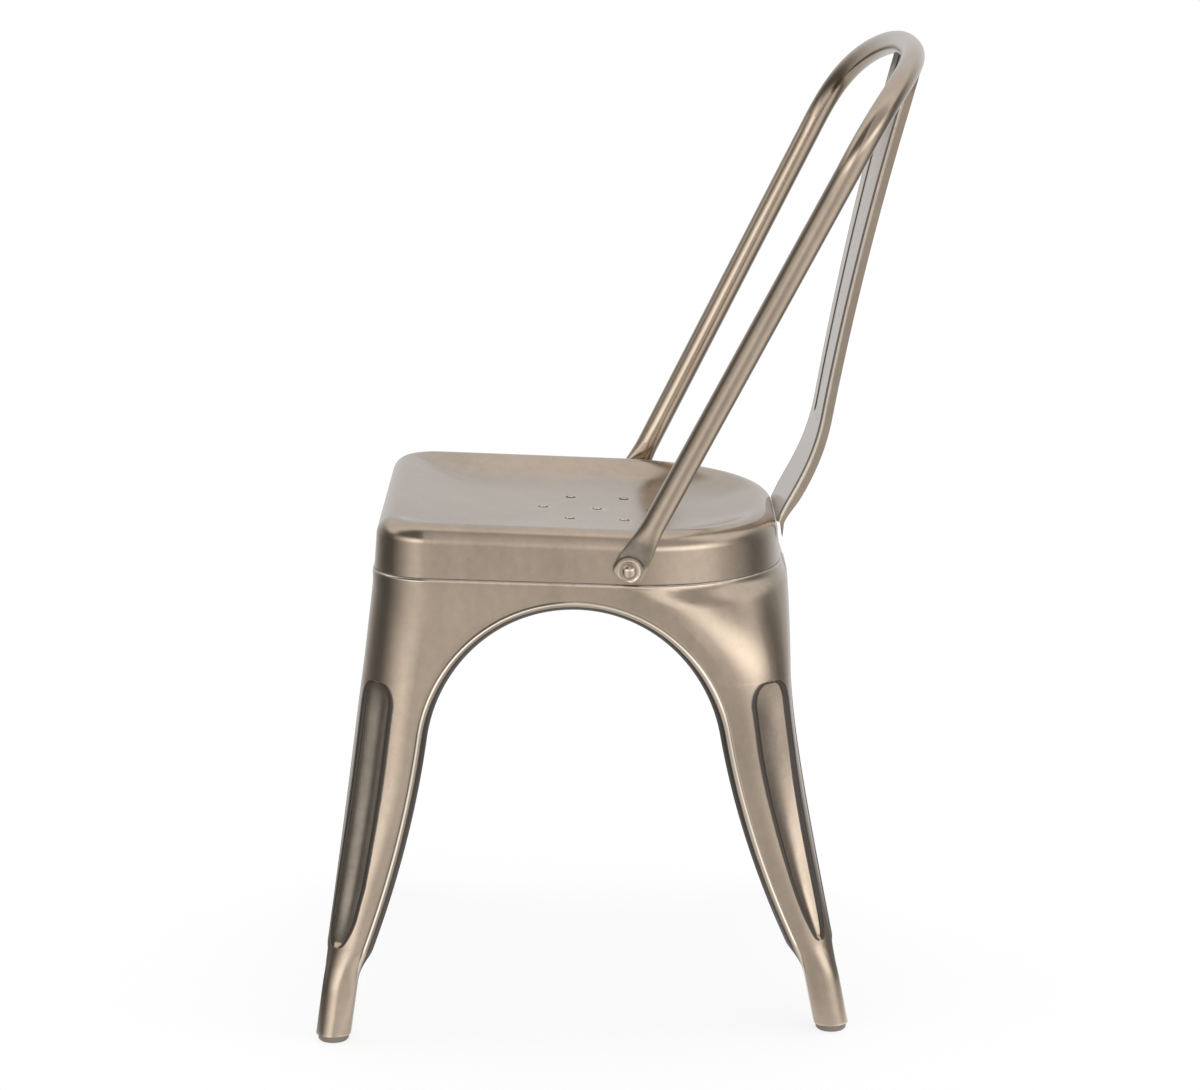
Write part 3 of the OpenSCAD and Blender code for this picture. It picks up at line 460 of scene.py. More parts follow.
def skirt_r(e): return (front_corner_r if e < 0 else rear_corner_r) + skirt_flare
def skirt_y(e): return (seat_front if e < 0 else seat_rear) + skirt_flare
def apron_z(y): return hem_z(y) - seat_gap * 2 - shoulder


def edge_depth(side, far):
    """How far below the top of the arch its edge faces a point of the wall."""
    up, out = far[1] - arch_top + arch_round, far[0] - seam_y if side else far[0]
    return arch_top - far[1] if up <= 0 else arch_round * (1 - up / hypot(up, out))


# levels of the rows: close together at both ends of the flute
fan_steps = 26
low_levels = [6, 9, 13, 18, 23, 28, 33, 37, 40, 42] + [42 + k * 1.5 for k in range(1, 23)]
low_levels += [76 + k * 1.1 for k in range(26)] + [105 + k * 2.6 for k in range(51)] + [split_z]
low_steps = len(low_levels) - 1
high_levels = [split_z + k * 3 for k in range(1, 14)] + [280 + k * 1.4 for k in range(11)]
high_levels += [296 + k * 0.7 for k in range(13)] + [306 + k * 3.2 for k in range(1, 22)]
high_top = hem_z(0) - 15
high_shares = [(z - split_z) / (high_top - split_z) for z in high_levels if z < high_top - 2] + [1.0]
high_steps = len(high_shares)


def row_p(i): return 0.0 if i <= low_steps else high_shares[i - low_steps - 1]


def row_z(e, i):
    return low_levels[i] if i <= low_steps else lerp(split_z, apron_z(e * (skirt_y(e) - skirt_r(e))), row_p(i))


def row_r(e, i):
    """Radius of the leg's outer corner: small at the foot, and up at the skirt as large as the seat's."""
    z, p = row_z(e, i), row_p(i)
    if i <= low_steps:
        return lerp(ankle_r, leg_r[e], ease((z - foot_close) / (split_z - foot_close)) ** leg_growth)
    return lerp(leg_r[e], skirt_r(e), p ** widen[e])


# section of the edge: place in the fold, run in from the arch, rise out of the face
edge_at = [0, 0.5, 0.9, 1.2, 1.5, 1.85, 2.2, 2.6, 3.0, 3.4, 3.8, 4.2, 4.6, 5]
edge_run = [0, 0.9, 1.6, 2.1, 2.6, 3.2, 3.9, 4.8, 5.6, 6.4, 7.1, 7.8, 8.4, 9]
edge_rise = [-lip_d, -6, -3.9, -2.6, -1.4, -0.3, 0.55, 1.15, 1.15, 0.7, 0.15, -0.2, -0.15, 0]
run_of, rise_of = smooth_through(edge_at, edge_run), smooth_through(edge_at, edge_rise)
edge_cols = [5 * k / 34 for k in range(35)]
# painted light across the arch's edge: painted shade on the returned lip, a painted highlight on the bead's
# crest, and painted shade in the dip beyond it
edge_painted_light = smooth_through([0, 0.8, 1.2, 1.5, 1.8, 2.2, 2.6, 3.0, 3.6, 4.1, 4.6, 5],
                         [1.2, 1.2, 1.2, 1.15, 1.1, 0.8, 0.1, -0.55, 0.2, 0.85, 0.25, 0])
face_more = [0.12, 0.3, 0.5, 0.7, 0.88]
wrap_turn = 180 - degrees(asin(slit_w / foot_d))


def wall_point(e, side, t, z, rise, wash_and_painted_light=0.0):
    """A point of the side or end face: t along it, z above the floor, and a rise out of it."""
    return (side_x(e, z) + rise, t, z, wash_and_painted_light) if side else (t, e * (end_y(e, z) + rise), z, wash_and_painted_light)


def face_row(e, side, far):
    """From the returned edge of the arch, over the bead, to just short of the far point."""
    d = edge_depth(side, far)
    near = np.array([seam_y + e * arch_half(e, True, d) if side else arch_half(e, False, d), arch_top - d])
    far = np.array(far, float)
    run = np.linalg.norm(far - near)
    way, fit = (far - near) / max(run, 0.1), 1.0
    if far[1] < foot_open + 2:  # the face narrows to nothing at the foot, and its bead with it
        way = np.array([e if side else 1.0, 0.0])
        fit = clamp01((far - near) @ way / bead_w / bead_room)
    row = []
    for c in edge_cols:
        q = near + way * run_of(c) * fit
        row.append(wall_point(e, side, q[0], q[1], rise_of(c) * fit, edge_painted_light(c)))
    for s in face_more:
        q = near + way * lerp(bead_w * fit, run, s)
        row.append(wall_point(e, side, q[0], q[1], 0))
    return row


# columns round the outer corner: plain up to the flute, with the place of each in the flute's own
# shares for the painted shade and highlight, then the rim of the flute, its floor, and back
rest_cols = [0, 0.2, 0.4, 0.58, 0.74, 0.87, 0.96]
rest_places = [2, 2, 1.8, 1.5, 1.3, 1.13, 1.04]
flute_cols = [-1, -0.985, -0.965, -0.945, -0.92, -0.88, -0.8, -0.68, -0.52, -0.35, -0.17, 0]
flute_cols += [-v for v in flute_cols[-2::-1]]
head_run, tail_run, tail_round, tail_blunt = 22.0, 59.4, 2.4, 0.54
rear_turn, rear_wide = (8, 2), (0.55, 1.16)  # of a rear flute, at its low end and where the leg widens
wall_share, wall_depth, floor_share, floor_depth = 0.075, 1.7, 0.95, flute_depth + 0.6
wall_runs, floor_runs = (2.2, 4), (30, 50)  # from head and from tail, to where each is at its full depth
# the flute's floor is tilted, and is painted lighter as a highlight out to a share of its width, faded in from
# each end
floor_tilt, floor_painted_highlight, floor_highlight_edge, floor_highlight_run = {-1: 0.5, 1: 0.0}, {-1: -0.22, 1: -0.12}, 0.78, 12
line_at, line_in, line_out, line_painted_shade = 0.94, 0.16, 0.3, 1.6  # the painted shade line at the foot of the wall, and how far it fades each way
# painted shade just above the flute's head
head_painted_shade, head_line = 1.2, 1.6


def from_head(z, run): return clamp01((flute_top - z) / run)
def from_tail(z, run): return clamp01((z - flute_low) / run)
def flute_share(z): return from_tail(z, split_z - flute_low)
def flute_middle(e, z): return 45.0 if e < 0 else 45 - lerp(*rear_turn, flute_share(z))


def flute_wide(e, z):
    """Half the width of the flute, along the corner: round at its head and narrowed to a tail."""
    wide = flute_half * (1 if e < 0 else lerp(*rear_wide, flute_share(z)))
    head = sqrt(1 - (1 - from_head(z, head_run)) ** 2)
    return wide * head * (1 - (1 - from_tail(z, tail_run)) ** tail_round) ** tail_blunt


def flute_cut(e, v, z):
    """Depth of the flute at the share v of its half width: a short steep wall, then a hollow floor."""
    wall = ease((1 - abs(v)) / wall_share)
    floor = (1 - (abs(v) / floor_share) ** 2) * (1 - floor_tilt[e] * v) if abs(v) < floor_share else 0.0
    deep = (1 - (1 - from_head(z, floor_runs[0])) ** 2) * (1 - (1 - from_tail(z, floor_runs[1])) ** 2)
    ends = ease(from_head(z, wall_runs[0])) * ease(from_tail(z, wall_runs[1]))
    return (wall_depth * wall + floor_depth * floor * wall * deep) * ends


def flute_painted_light(e, v, z):
    """Painted shade in the foot of the flute's wall, all round, and above its head, and a floor painted a little
    lighter as a highlight.
    """
    line = line_painted_shade * max(0.0, 1 - abs(v - line_at) / (line_in if v < line_at else line_out))
    above = head_painted_shade * clamp01(1 - abs(z - flute_top + 0.6) / head_line) * clamp01((1.06 - v) * 8)
    ends = clamp01((flute_top + 0.5 - z) / 1.5) * clamp01((z - flute_low + 1) / 4)
    painted_highlight = floor_painted_highlight[e] * clamp01((floor_highlight_edge - v) * 6)
    return max(line * ends, above) + painted_highlight * from_head(z, floor_highlight_run) * from_tail(z, floor_highlight_run)


def corner_row(e, i, least=0.7, most=32):
    """Round the outer corner, in columns that follow the flute. Its half width is held in degrees."""
    z, r, p = row_z(e, i), row_r(e, i), row_p(i)
    inside = flute_low < z < flute_top
    half = min(max(least, degrees(flute_wide(e, z) / r)) if inside else least, most)
    middle = flute_middle(e, z)
    cx, cy = side_x(e, z) - r, end_y(e, z) - r
    rest = [(s, flute_painted_light(e, v, z)) for s, v in zip(rest_cols, rest_places)]
    spots = [((middle - half) * s, 0.0, wash_and_painted_light) for s, wash_and_painted_light in rest]
    spots += [(middle + half * v, flute_cut(e, v, z) if inside else 0.0, flute_painted_light(e, abs(v), z))
              for v in flute_cols]
    spots += [(90 - (90 - middle - half) * s, 0.0, wash_and_painted_light) for s, wash_and_painted_light in rest[::-1]]
    row = []
    for a, cut_in, wash_and_painted_light in spots:
        a, rr = radians(a), r - cut_in
        zz = lerp(split_z, apron_z(e * (cy + r * sin(a))), p) if p > 0 else z
        row.append((cx + rr * cos(a), e * (end_y(e, zz) - r + rr * sin(a)), zz, wash_and_painted_light))
    return row


def wall_row(e, i):
    """One row of the open sheet: side face, corner with the flute, end face."""
    z, r, p = row_z(e, i), row_r(e, i), row_p(i)
    y = end_y(e, z) - r
    end_far = lerp(split_z, apron_z(e * (y + r)), p) if p > 0 else z
    a = face_row(e, True, (e * y, z))
    b = face_row(e, False, (side_x(e, z) - r, end_far))
    return a + corner_row(e, i) + b[::-1]


# the sheet keeps its length as it rolls into the foot, so each column has its place round the roll
wrap_places = {}
for e in (-1, 1):
    ankle = np.array(wall_row(e, next(i for i, z in enumerate(low_levels) if z > foot_open)))
    steps = np.concatenate([[0], np.cumsum(np.linalg.norm(np.diff(ankle, axis=0), axis=1))])
    share = steps / steps[-1]
    wrap_places[e] = 1 - (share + 1 - share[::-1])


def leg_row(e, i):
    """A row of the leg, rolled into the round foot near the floor."""
    row, z = wall_row(e, i), row_z(e, i)
    close = 1 - ease((z - foot_close) / (foot_open - foot_close))
    if close > 0:
        cx, cy, r = side_x(e, z) - foot_d / 2, end_y(e, z) - foot_d / 2, foot_d / 2
        done = []
        for point, place_round in zip(row, wrap_places[e]):
            turn = radians(45 - place_round * wrap_turn)
            goal = (cx + r * cos(turn), e * (cy + r * sin(turn)), z, point[3] * 0.5)
            done.append(tuple(lerp(p0, p1, close) for p0, p1 in zip(point, goal)))
        row = done
    return row


def fan_far(e, side, k):
    """Where a column of the apron ends under the skirt."""
    y, x = e * (skirt_y(e) - skirt_r(e)), seat_half_w + skirt_flare - skirt_r(e)
    if side:
        t = lerp(y, seam_y, k)
        return t, apron_z(t)
    return lerp(x, 0, k), apron_z(e * skirt_y(e))


def fan_row(e, side, k):
    far = fan_far(e, side, k)
    return face_row(e, side, far) + [wall_point(e, side, *far, 0)]


tab_h = 7.0
tuck_painted_light = (0, -0.2, -0.22, 0.3, 1.1, 1.2, 1.2)  # a thin painted highlight on the shoulder, then painted shade up in the seam under the skirt


def tuck_rows(e):
    """The joggle over the shoulder and the tab that stands behind the skirt."""
    turns = [radians(a) for a in (0, 18, 36, 54, 72, 90)]
    steps = [(shoulder * (1 - cos(a)), shoulder * sin(a)) for a in turns]
    steps += [(shoulder + 0.05, shoulder + tab_h)]
    r = skirt_r(e)
    cx, cy = seat_half_w + skirt_flare - r, skirt_y(e) - r
    corner = [(atan2(abs(y) - cy, x - cx), z) for x, y, z, _ in corner_row(e, low_steps + high_steps)]
    rows = []
    for (inset, rise), wash_and_painted_light in zip(steps, tuck_painted_light):
        side_run, end_run = ([wall_point(e, side, *fan_far(e, side, n / fan_steps), -inset)
                              for n in range(1, fan_steps + 1)] for side in (True, False))
        bend = [(cx + (r - inset) * cos(a), e * (cy + (r - inset) * sin(a)), z) for a, z in corner]
        rows.append([(p[0], p[1], p[2] + rise, wash_and_painted_light) for p in side_run[::-1] + bend + end_run])
    return rows


def patch(rows, flip, points, faces):
    """Four-sided faces between rows of points."""
    base, cols = len(points), len(rows[0])
    for row in rows:
        points.extend(row)
    for i in range(len(rows) - 1):
        for j in range(cols - 1):
            a = base + i * cols + j
            quad = (a, a + 1, a + cols + 1, a + cols)
            faces.append(quad[::-1] if flip else quad)


same_spot, no_length = 0.00002, 0.000005  # in metres


def pressed(obj, thickness, seams=()):
    """Merge the patches and give the sheet its thickness, inwards."""
    work = bmesh.new()
    work.from_mesh(obj.data)
    bmesh.ops.remove_doubles(work, verts=work.verts, dist=same_spot)
    bmesh.ops.dissolve_degenerate(work, dist=no_length, edges=work.edges)
    work.to_mesh(obj.data)
    work.free()
    wall = obj.modifiers.new("sheet", "SOLIDIFY")
    wall.thickness, wall.offset, wall.use_even_offset = thickness / 1000, -1, False
    return shade(applied(obj), seams=seams)


def leg(name, e, side, finish):
    """One sheet: the rolled leg, an apron on each side of it, and the tucked top edge."""
    rows = [leg_row(e, i) for i in range(low_steps + high_steps + 1)]
    wide, shares = len(edge_cols) + len(face_more) + 1, [n / fan_steps for n in range(1, fan_steps + 1)]
    points, faces, flip = [], [], e > 0
    patch(rows, flip, points, faces)
    patch([rows[-1][:wide]] + [fan_row(e, True, k) for k in shares], flip, points, faces)
    patch([rows[-1][-wide:]] + [fan_row(e, False, k)[::-1] for k in shares], flip, points, faces)
    patch(tuck_rows(e), flip, points, faces)
    if side < 0:
        points, faces = [(-x, y, z, wash_and_painted_light) for x, y, z, wash_and_painted_light in points], [f[::-1] for f in faces]
    obj = pressed(mesh_piece(name, points, faces), sheet, ((1, (seam_y - middle_y) / 1000), (0, 0)))
    obj.data.materials.append(finish)
    return obj


for e, end in ((-1, "front"), (1, "rear")):
    for side, hand in ((1, "left"), (-1, "right")):
        piece = leg(f"{end}_{hand}_leg", e, side, steel)
        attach(piece, "root")
        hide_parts(f"leg_{end}_{hand}")

# ---------------- cross brace
# Two flat bars run from corner to corner under the seat, one lying on the other, and are welded
# to the insides of the legs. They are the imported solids, in the same finish as the legs.
for name in ("brace_upper", "brace_lower"):
    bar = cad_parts[name]
    bar.data.materials.clear()
    bar.data.materials.append(steel)

# ---------------- bumpers
# Four black rubber buttons under the bars, which keep stacked chairs from rubbing.
# Each is moulded with a rounded lower edge and held by a stud through the bar.
def moulded(name, colour, rough, coarse):
    """Rubber or plastic with a finely pitted face."""
    f = Finish(name)
    pits = f.spots(coarse, detail=4, rough=0.65, seed=3.3)
    cloud = f.spots(18, detail=3, seed=0.6)
    darker = tuple(c * 0.78 for c in colour)
    bump = f.make("ShaderNodeBump", {}, {"Strength": 0.25, "Distance": 0.0004, "Height": pits})
    return f.done(f.make("ShaderNodeBsdfPrincipled", {}, {
        "Base Color": f.blend("MIX", f.span(cloud, 0.3, 0.7), darker, colour),
        "Roughness": rough - 0.06 + pits * 0.12, "Normal": bump}))


def standing_spots(nodes):
    """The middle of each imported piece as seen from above, and its lowest height, in millimetres."""
    boxes = [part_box(n) for n in nodes]
    return [((low.x + high.x) * 500, (low.y + high.y) * 500 + middle_y, low.z * 1000) for low, high in boxes]


bumper_h, bumper_r = 8.0, 10.0
rubber = moulded("black_rubber", (0.022, 0.021, 0.02), 0.62, 900)
nodes = [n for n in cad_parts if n.startswith("bumper_")]
button = turned("button", [(0, 0), (3, 0), (bumper_r - 2.2, 0.1), (bumper_r - 1, 0.5), (bumper_r - 0.2, 1.5),
                           (bumper_r, 2.6), (bumper_r, bumper_h - 1), (bumper_r - 0.2, bumper_h), (0, bumper_h)])
bumpers = shade(repeated("bumpers", button, standing_spots(nodes), rubber))
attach(bumpers, "root")
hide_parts(*nodes)

# ---------------- foot glides
# A taupe moulded cap closes each rolled foot. It has a bevelled sole and a short stem that is
# pushed up inside the rolled sheet.
plastic = moulded("taupe_plastic", (0.30, 0.255, 0.205), 0.42, 700)
nodes = [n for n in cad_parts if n.startswith("glide_")]
spots = [(x, y, 0) for x, y, _ in standing_spots(nodes)]
cap_r, stem_r, cap_h = foot_d / 2 - 0.4, foot_d / 2 - sheet * 2.8, 14.1
cap = turned("cap", [(0, 0), (cap_r - 2.4, 0), (cap_r - 1.5, 0.15), (cap_r - 0.4, 1.2), (cap_r, 2.0),
                     (cap_r, 5.5), (cap_r - 0.3, foot_z), (stem_r, foot_z), (stem_r, cap_h - 1.1),
                     (stem_r - 1.4, cap_h), (0, cap_h)], 56)
glides = shade(repeated("foot_glides", cap, spots, plastic))
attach(glides, "root")
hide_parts(*nodes)

# ---------------- back hoop
# One length of round tube, bent into a hoop. Its two ends are pressed flat, rounded, drawn in
# round the rivet hole, and lie on the skirt of the seat.
tube_r, rivet_h, rivet_y, back_lean = 10.1, 400.5, 40.5, radians(27.6)
arm_len, arm_top_half, bend_rise, bend_back = 384.0, 228.0, 106.0, 20.5
flat_t, flat_w, flat_tip, flat_run = 4.8, 27.4, 8.6, 46.0
bend_power, bend_ease = 2.46, 2.6
lean_y, lean_z = sin(back_lean), cos(back_lean)
arm_foot_half = seat_half_w + skirt_flare + seat_gap + flat_t / 2
# round the rivet, by the distance from its middle: a recess, a drawn ring, and the fullness beyond it
recess_r, recess_run, recess_d = 7.8, 1.6, 0.9
ring_r, ring_run, ring_rise, ring_end = 10.2, 6.5, 9.0, 18.5
# a painted highlight on the lip round the recess, and painted shade in the ring and on the fullness above the
# rivet
lip_at, lip_wide, lip_painted_highlight = 9.4, 1.3, 0.55
ring_shade_at, ring_shade_wide, ring_painted_shade, bulge_painted_shade, past_end, past_fade = 12.8, 3.2, 0.85, 0.52, 50.0, 24.0


def hoop_point(x, s):
    """A point of the leaning hoop: x to the side and s up along it, bent back near the top."""
    b = bend_back * (max(0.0, s - arm_len) / bend_rise) ** bend_ease
    return np.array([x, rivet_y + s * lean_y + b * lean_z, rivet_h + s * lean_z - b * lean_y])


def arm_point(s):
    apart = max(0.0, (s - flat_w / 2) / (arm_len - flat_w / 2))
    return hoop_point(lerp(arm_foot_half, arm_top_half, apart), s)


def bend_point(a):
    share = 2 / bend_power
    return hoop_point(arm_top_half * max(0.0, cos(a)) ** share, arm_len + bend_rise * sin(a) ** share)


stops = [-flat_tip * cos(pi / 2 * k / 14) for k in range(14)] + [flat_run * k / 46 for k in range(47)]
stops += [lerp(flat_run, arm_len, k / 16) for k in range(1, 17)]
tip_thin, tip_run = 0.72, 2.0  # the very tip is pressed thinner
press_from, press_run, press_power = 5.0, 50.0, 0.55  # the pressed end is flatter than an oval
sizes = []
for s in stops:
    t = lerp(flat_t / 2, tube_r, ease((s - press_from) / press_run))
    if s < 0:
        w = max(flat_t / 3, flat_w / 2 * max(0.0, 1 - (-s / flat_tip) ** 3) ** (1 / 3))
    else:
        w = lerp(flat_w / 2, tube_r, ease(s / flat_run))
    sizes.append((t * (1 if s > tip_run - flat_tip else lerp(tip_thin, 1, (s + flat_tip) / tip_run)), w))
axis = [arm_point(s) for s in stops]
angles = [90 * (k / 56) ** 1.25 for k in range(1, 57)]
axis += [bend_point(radians(a)) for a in angles]
sizes += [(tube_r, tube_r)] * len(angles)
axis += [p * np.array([-1, 1, 1]) for p in axis[-2::-1]]
sizes += sizes[-2::-1]
across, plane = 64, np.array([0, lean_z, -lean_y])
points, last = [], len(axis) - 1
for i, (centre, (t, w)) in enumerate(zip(axis, sizes)):
    way = axis[min(i + 1, last)] - axis[max(i - 1, 0)]
    u = np.cross(way, plane)
    u /= np.linalg.norm(u)
    v = np.cross(way / np.linalg.norm(way), u)
    power = lerp(press_power, 1, clamp01(t / w))
    for k in range(across):
        c, s = cos(2 * pi * k / across), sin(2 * pi * k / across)
        out, along = copysign(abs(c) ** power, c), copysign(abs(s) ** (power if t < w else 1), s)
        q = centre + u * t * out + v * w * along
        # drawn in round the rivet, with painted shade in the ring and on the fullness above it, and a painted
        # highlight on the lip round the recess
        gap, wash_and_painted_light = hypot(q[1] - rivet_y, q[2] - rivet_h), 0.0
        if abs(q[0]) > arm_foot_half:
            proud = abs(q[0]) - arm_foot_half
            if gap < ring_end:
                proud = min(proud, flat_t / 2 + ring_rise * ease((gap - ring_r) / ring_run))
            in_ring = ring_painted_shade * clamp01(1 - abs(gap - ring_shade_at) / ring_shade_wide)
            past_ring = bulge_painted_shade * clamp01((past_end - gap) / past_fade) * ease((gap - 9) / 4)
            wash_and_painted_light = max(in_ring, past_ring) * clamp01((q[2] - rivet_h + 3) / 8)
            wash_and_painted_light -= lip_painted_highlight * clamp01(1 - abs(gap - lip_at) / lip_wide)
            sunk = recess_d * (1 - ease((gap - recess_r) / recess_run))
            q[0] = copysign(arm_foot_half + proud - sunk, q[0])
        points.append((*q, wash_and_painted_light))
faces = round_faces(len(axis), across)
faces += [tuple(range(across)), tuple(last * across + k for k in range(across - 1, -1, -1))]
hoop = shade(mesh_piece("bent_back_hoop", points, faces), 50)
hoop.data.materials.append(steel)
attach(hoop, "root")
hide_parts("back_hoop")

# ---------------- rivets and washers
# A steel rivet with a domed head pins each end of the hoop to the skirt, over a washer on the
# inside of the skirt where its tail is closed.
head_r, shank_r, washer_r, washer_t = 6.1, 3.85, 6.5, 1.4
rivet_face = arm_foot_half + flat_t / 2 + seat_gap
skirt_share = (rim_z(rivet_y) - roll_r - rivet_h - washer_r) / (skirt_drop - roll_r)
tail_face = seat_half_w + skirt_flare * skirt_share - sheet - washer_t - seat_gap * 1.5
head_at, rise = rivet_face - tail_face - recess_d, head_r * 0.74
tail_r, tail_rise = head_r * 0.9, rise * 0.8
bright = steel_with_wear_and_painted_light("rivet_steel", (0.52, 0.44, 0.35), rough=0.17)
dome = [radians(7.5 * k) for k in range(13)]
profile = [(0, -tail_rise)] + [(tail_r * sin(a), -tail_rise * cos(a)) for a in dome[1:]]
profile += [(shank_r, 0), (shank_r, head_at)]
profile += [(head_r * cos(a), head_at + rise * sin(a)) for a in dome[:-1]] + [(0, head_at + rise)]
spots = [(sx * tail_face, rivet_y, rivet_h) for sx in (1, -1)]
turns = [(0, pi / 2, 0), (0, -pi / 2, 0)]
rivets = shade(repeated("domed_rivets", turned("rivet", profile), spots, bright, turns))
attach(rivets, "root")
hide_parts("rivet_left", "rivet_right")
bore_r, chamfer, cuts = shank_r + 0.15, 0.2, 40
outline = [(bore_r, 0), (washer_r - chamfer, 0), (washer_r, chamfer), (washer_r, washer_t - chamfer),
           (washer_r - chamfer, washer_t), (bore_r, washer_t)]
points = [(r * cos(a), r * sin(a), z) for a in np.linspace(0, 2 * pi, cuts + 1)[:-1]
          for r, z in outline]
ring = mesh_piece("ring", np.array(points) / 1000, round_faces(cuts, len(outline), closed=True), placed=False)
spots = [(sx * (tail_face + seat_gap / 3), rivet_y, rivet_h) for sx in (1, -1)]
washers = shade(repeated("flat_washers", ring, spots, bright, turns))
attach(washers, "root")
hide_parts("washer_left", "washer_right")

# ---------------- back splat
# A tapered pressing with two shallow grooves and its sides folded back. It is coped and welded
# to the hoop above, and sweeps forward to the rim of the seat, where its side folds end in tails.
high_z, high_y, mid_y, low_z, low_y = 786.0, 272.0, 237.5, 510.0, 209.5
top_half, waist_half, flange, fold_r = 85.0, 56.0, 9.8, 3.0
groove_depth, groove_end, groove_half, groove_at = 1.8, 500.0, 2.6, 0.42
middle_sunk = 0.4  # the strip between the grooves lies back by this share of their depth
# the side folds carry a painted highlight, painted shade where they meet the face, and their tails are painted as
# in shadow behind the seat's roll; the grooves are darker
flange_less, fold_painted_highlight, fold_painted_shade, groove_dark, tail_painted_shadow = 0.3, -0.3, 0.75, 1.5, 0.6
foot_in, tail_drop = roll_r * 0.09, 14.5
foot_y = seat_rear - foot_in
on_roll = sqrt(roll_r ** 2 - (roll_r - foot_in) ** 2) - roll_r
splat_foot = np.array([foot_y, rim_z(foot_y) + on_roll + seat_gap * 3])
bend_in = 4 * mid_y - high_y - 3 * low_y
lean_low = bend_in / (high_z - low_z)
sweep_len = low_z - splat_foot[1]
knee_a = np.array([low_y - lean_low * sweep_len * 0.5, low_z - sweep_len * 0.5])
knee_b = np.array([lerp(foot_y, low_y, 0.24), lerp(splat_foot[1], low_z, 0.25)])


def high_line(u):
    """The middle line of the splat, seen from the side, above its sweep: y and z."""
    return np.array([low_y + u * bend_in + 2 * u * u * (low_y + high_y - 2 * mid_y), lerp(low_z, high_z, u)])


def low_line(v):
    """The sweep forward, down to the rim of the seat."""
    w = 1 - v
    return (w ** 3 * np.array([low_y, low_z]) + 3 * w * w * v * knee_a
            + 3 * w * v * v * knee_b + v ** 3 * splat_foot)


line = [high_line(1 - k / 40) for k in range(40)] + [low_line(k / 88) for k in range(89)]


def half_width(z): return lerp(waist_half, top_half, clamp01((z - low_z) / (high_z - low_z)) ** 1.3)


def half_section(z):
    """From the edge of the folded side to the middle: distance out, depth back from the face, and the painted
    shade, highlight and groove darkening.
    """
    h = half_width(z)
    g = h * groove_at
    deep = groove_depth * ease((z - groove_end) / fold_r)
    f = flange * (1 - flange_less * ease(1 - (z - splat_foot[1]) / sweep_len / 0.3))
    row = [(h, lerp(fold_r, f, k), 0.1) for k in (1, 0.93, 0.6, 0.3)]
    # painted highlight on the fold, and painted shade where the fold meets the face
    for turn in (0, 15, 30, 45, 60, 75, 90):
        a, wash_and_painted_light = radians(turn), fold_painted_highlight if turn < 75 else fold_painted_shade
        row.append((h - fold_r + fold_r * cos(a), fold_r - fold_r * sin(a), wash_and_painted_light))
    for k, wash_and_painted_light in ((0.07, 0.6), (0.14, 0), (0.3, 0), (0.6, 0), (0.9, 0)):
        row.append((lerp(h - fold_r, g + groove_half * 1.3, k), 0, wash_and_painted_light))
    for k in range(-8, 9):
        s = k / 8
        floor = (1 - ease(abs(s))) ** 1.1
        wash_and_painted_light = groove_dark * deep / groove_depth * clamp01(1 - abs(s) * 1.3)
        row.append((g - groove_half * 1.2 * s, deep * (floor if s < 0 else lerp(middle_sunk, 1, floor)), wash_and_painted_light))
    row += [(lerp(g - groove_half * 1.3, 0, k), deep * middle_sunk, 0) for k in (0.15, 0.5, 0.8)]
    return row


def full_section(z):
    half = half_section(z)
    return half + [(0, half[-1][1], 0)] + [(-x, d, wash_and_painted_light) for x, d, wash_and_painted_light in half[::-1]]


def up_and_back(i):
    """The directions along the line and back from the face, at one of the line's points."""
    way = line[max(i - 1, 0)] - line[min(i + 1, len(line) - 1)]
    up = way / np.linalg.norm(way)
    return up, np.array([up[1], -up[0]])


up, back = up_and_back(0)
# painted shade along the cope, where the splat meets the hoop
cope, cope_r, cope_painted_shade = [], tube_r + seat_gap, 0.9
for x, d, _ in full_section(line[0][1]):
    s = arm_len + bend_rise * (1 - (abs(x) / arm_top_half) ** bend_power) ** (1 / bend_power)
    v = hoop_point(0, s)[1:] - line[0]
    off = v @ back - d
    p = line[0] + up * (v @ up - sqrt(max(cope_r ** 2 / 4, cope_r ** 2 - off * off))) + back * d
    cope.append((x, p[0], p[1], cope_painted_shade))
rows = [cope]
for i, (y, z) in enumerate(line):
    _, back = up_and_back(i)
    rows.append([(x, y + back[0] * d, z + back[1] * d, wash_and_painted_light) for x, d, wash_and_painted_light in full_section(z)])
# the tails of the side folds, each by its four outer points: how far in, how far down, and painted shadow as they
# run behind the seat's roll
row, end_z, tail_y = rows[-1], line[-1][1], seat_rear + skirt_flare + sheet
for j, (inward, down) in enumerate(((0, 1), (0.1, 0.97), (0.6, 0.75), (1, 0.4))):
    for k in (j, len(row) - 1 - j):
        row[k] = (row[k][0], tail_y - sheet * inward, end_z - tail_drop * down, tail_painted_shadow)
points, faces = [], []
patch(rows, False, points, faces)
splat = pressed(mesh_piece("splat_pressing", points, faces), sheet)
splat.data.materials.append(steel)
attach(splat, "root")
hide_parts("back_splat")

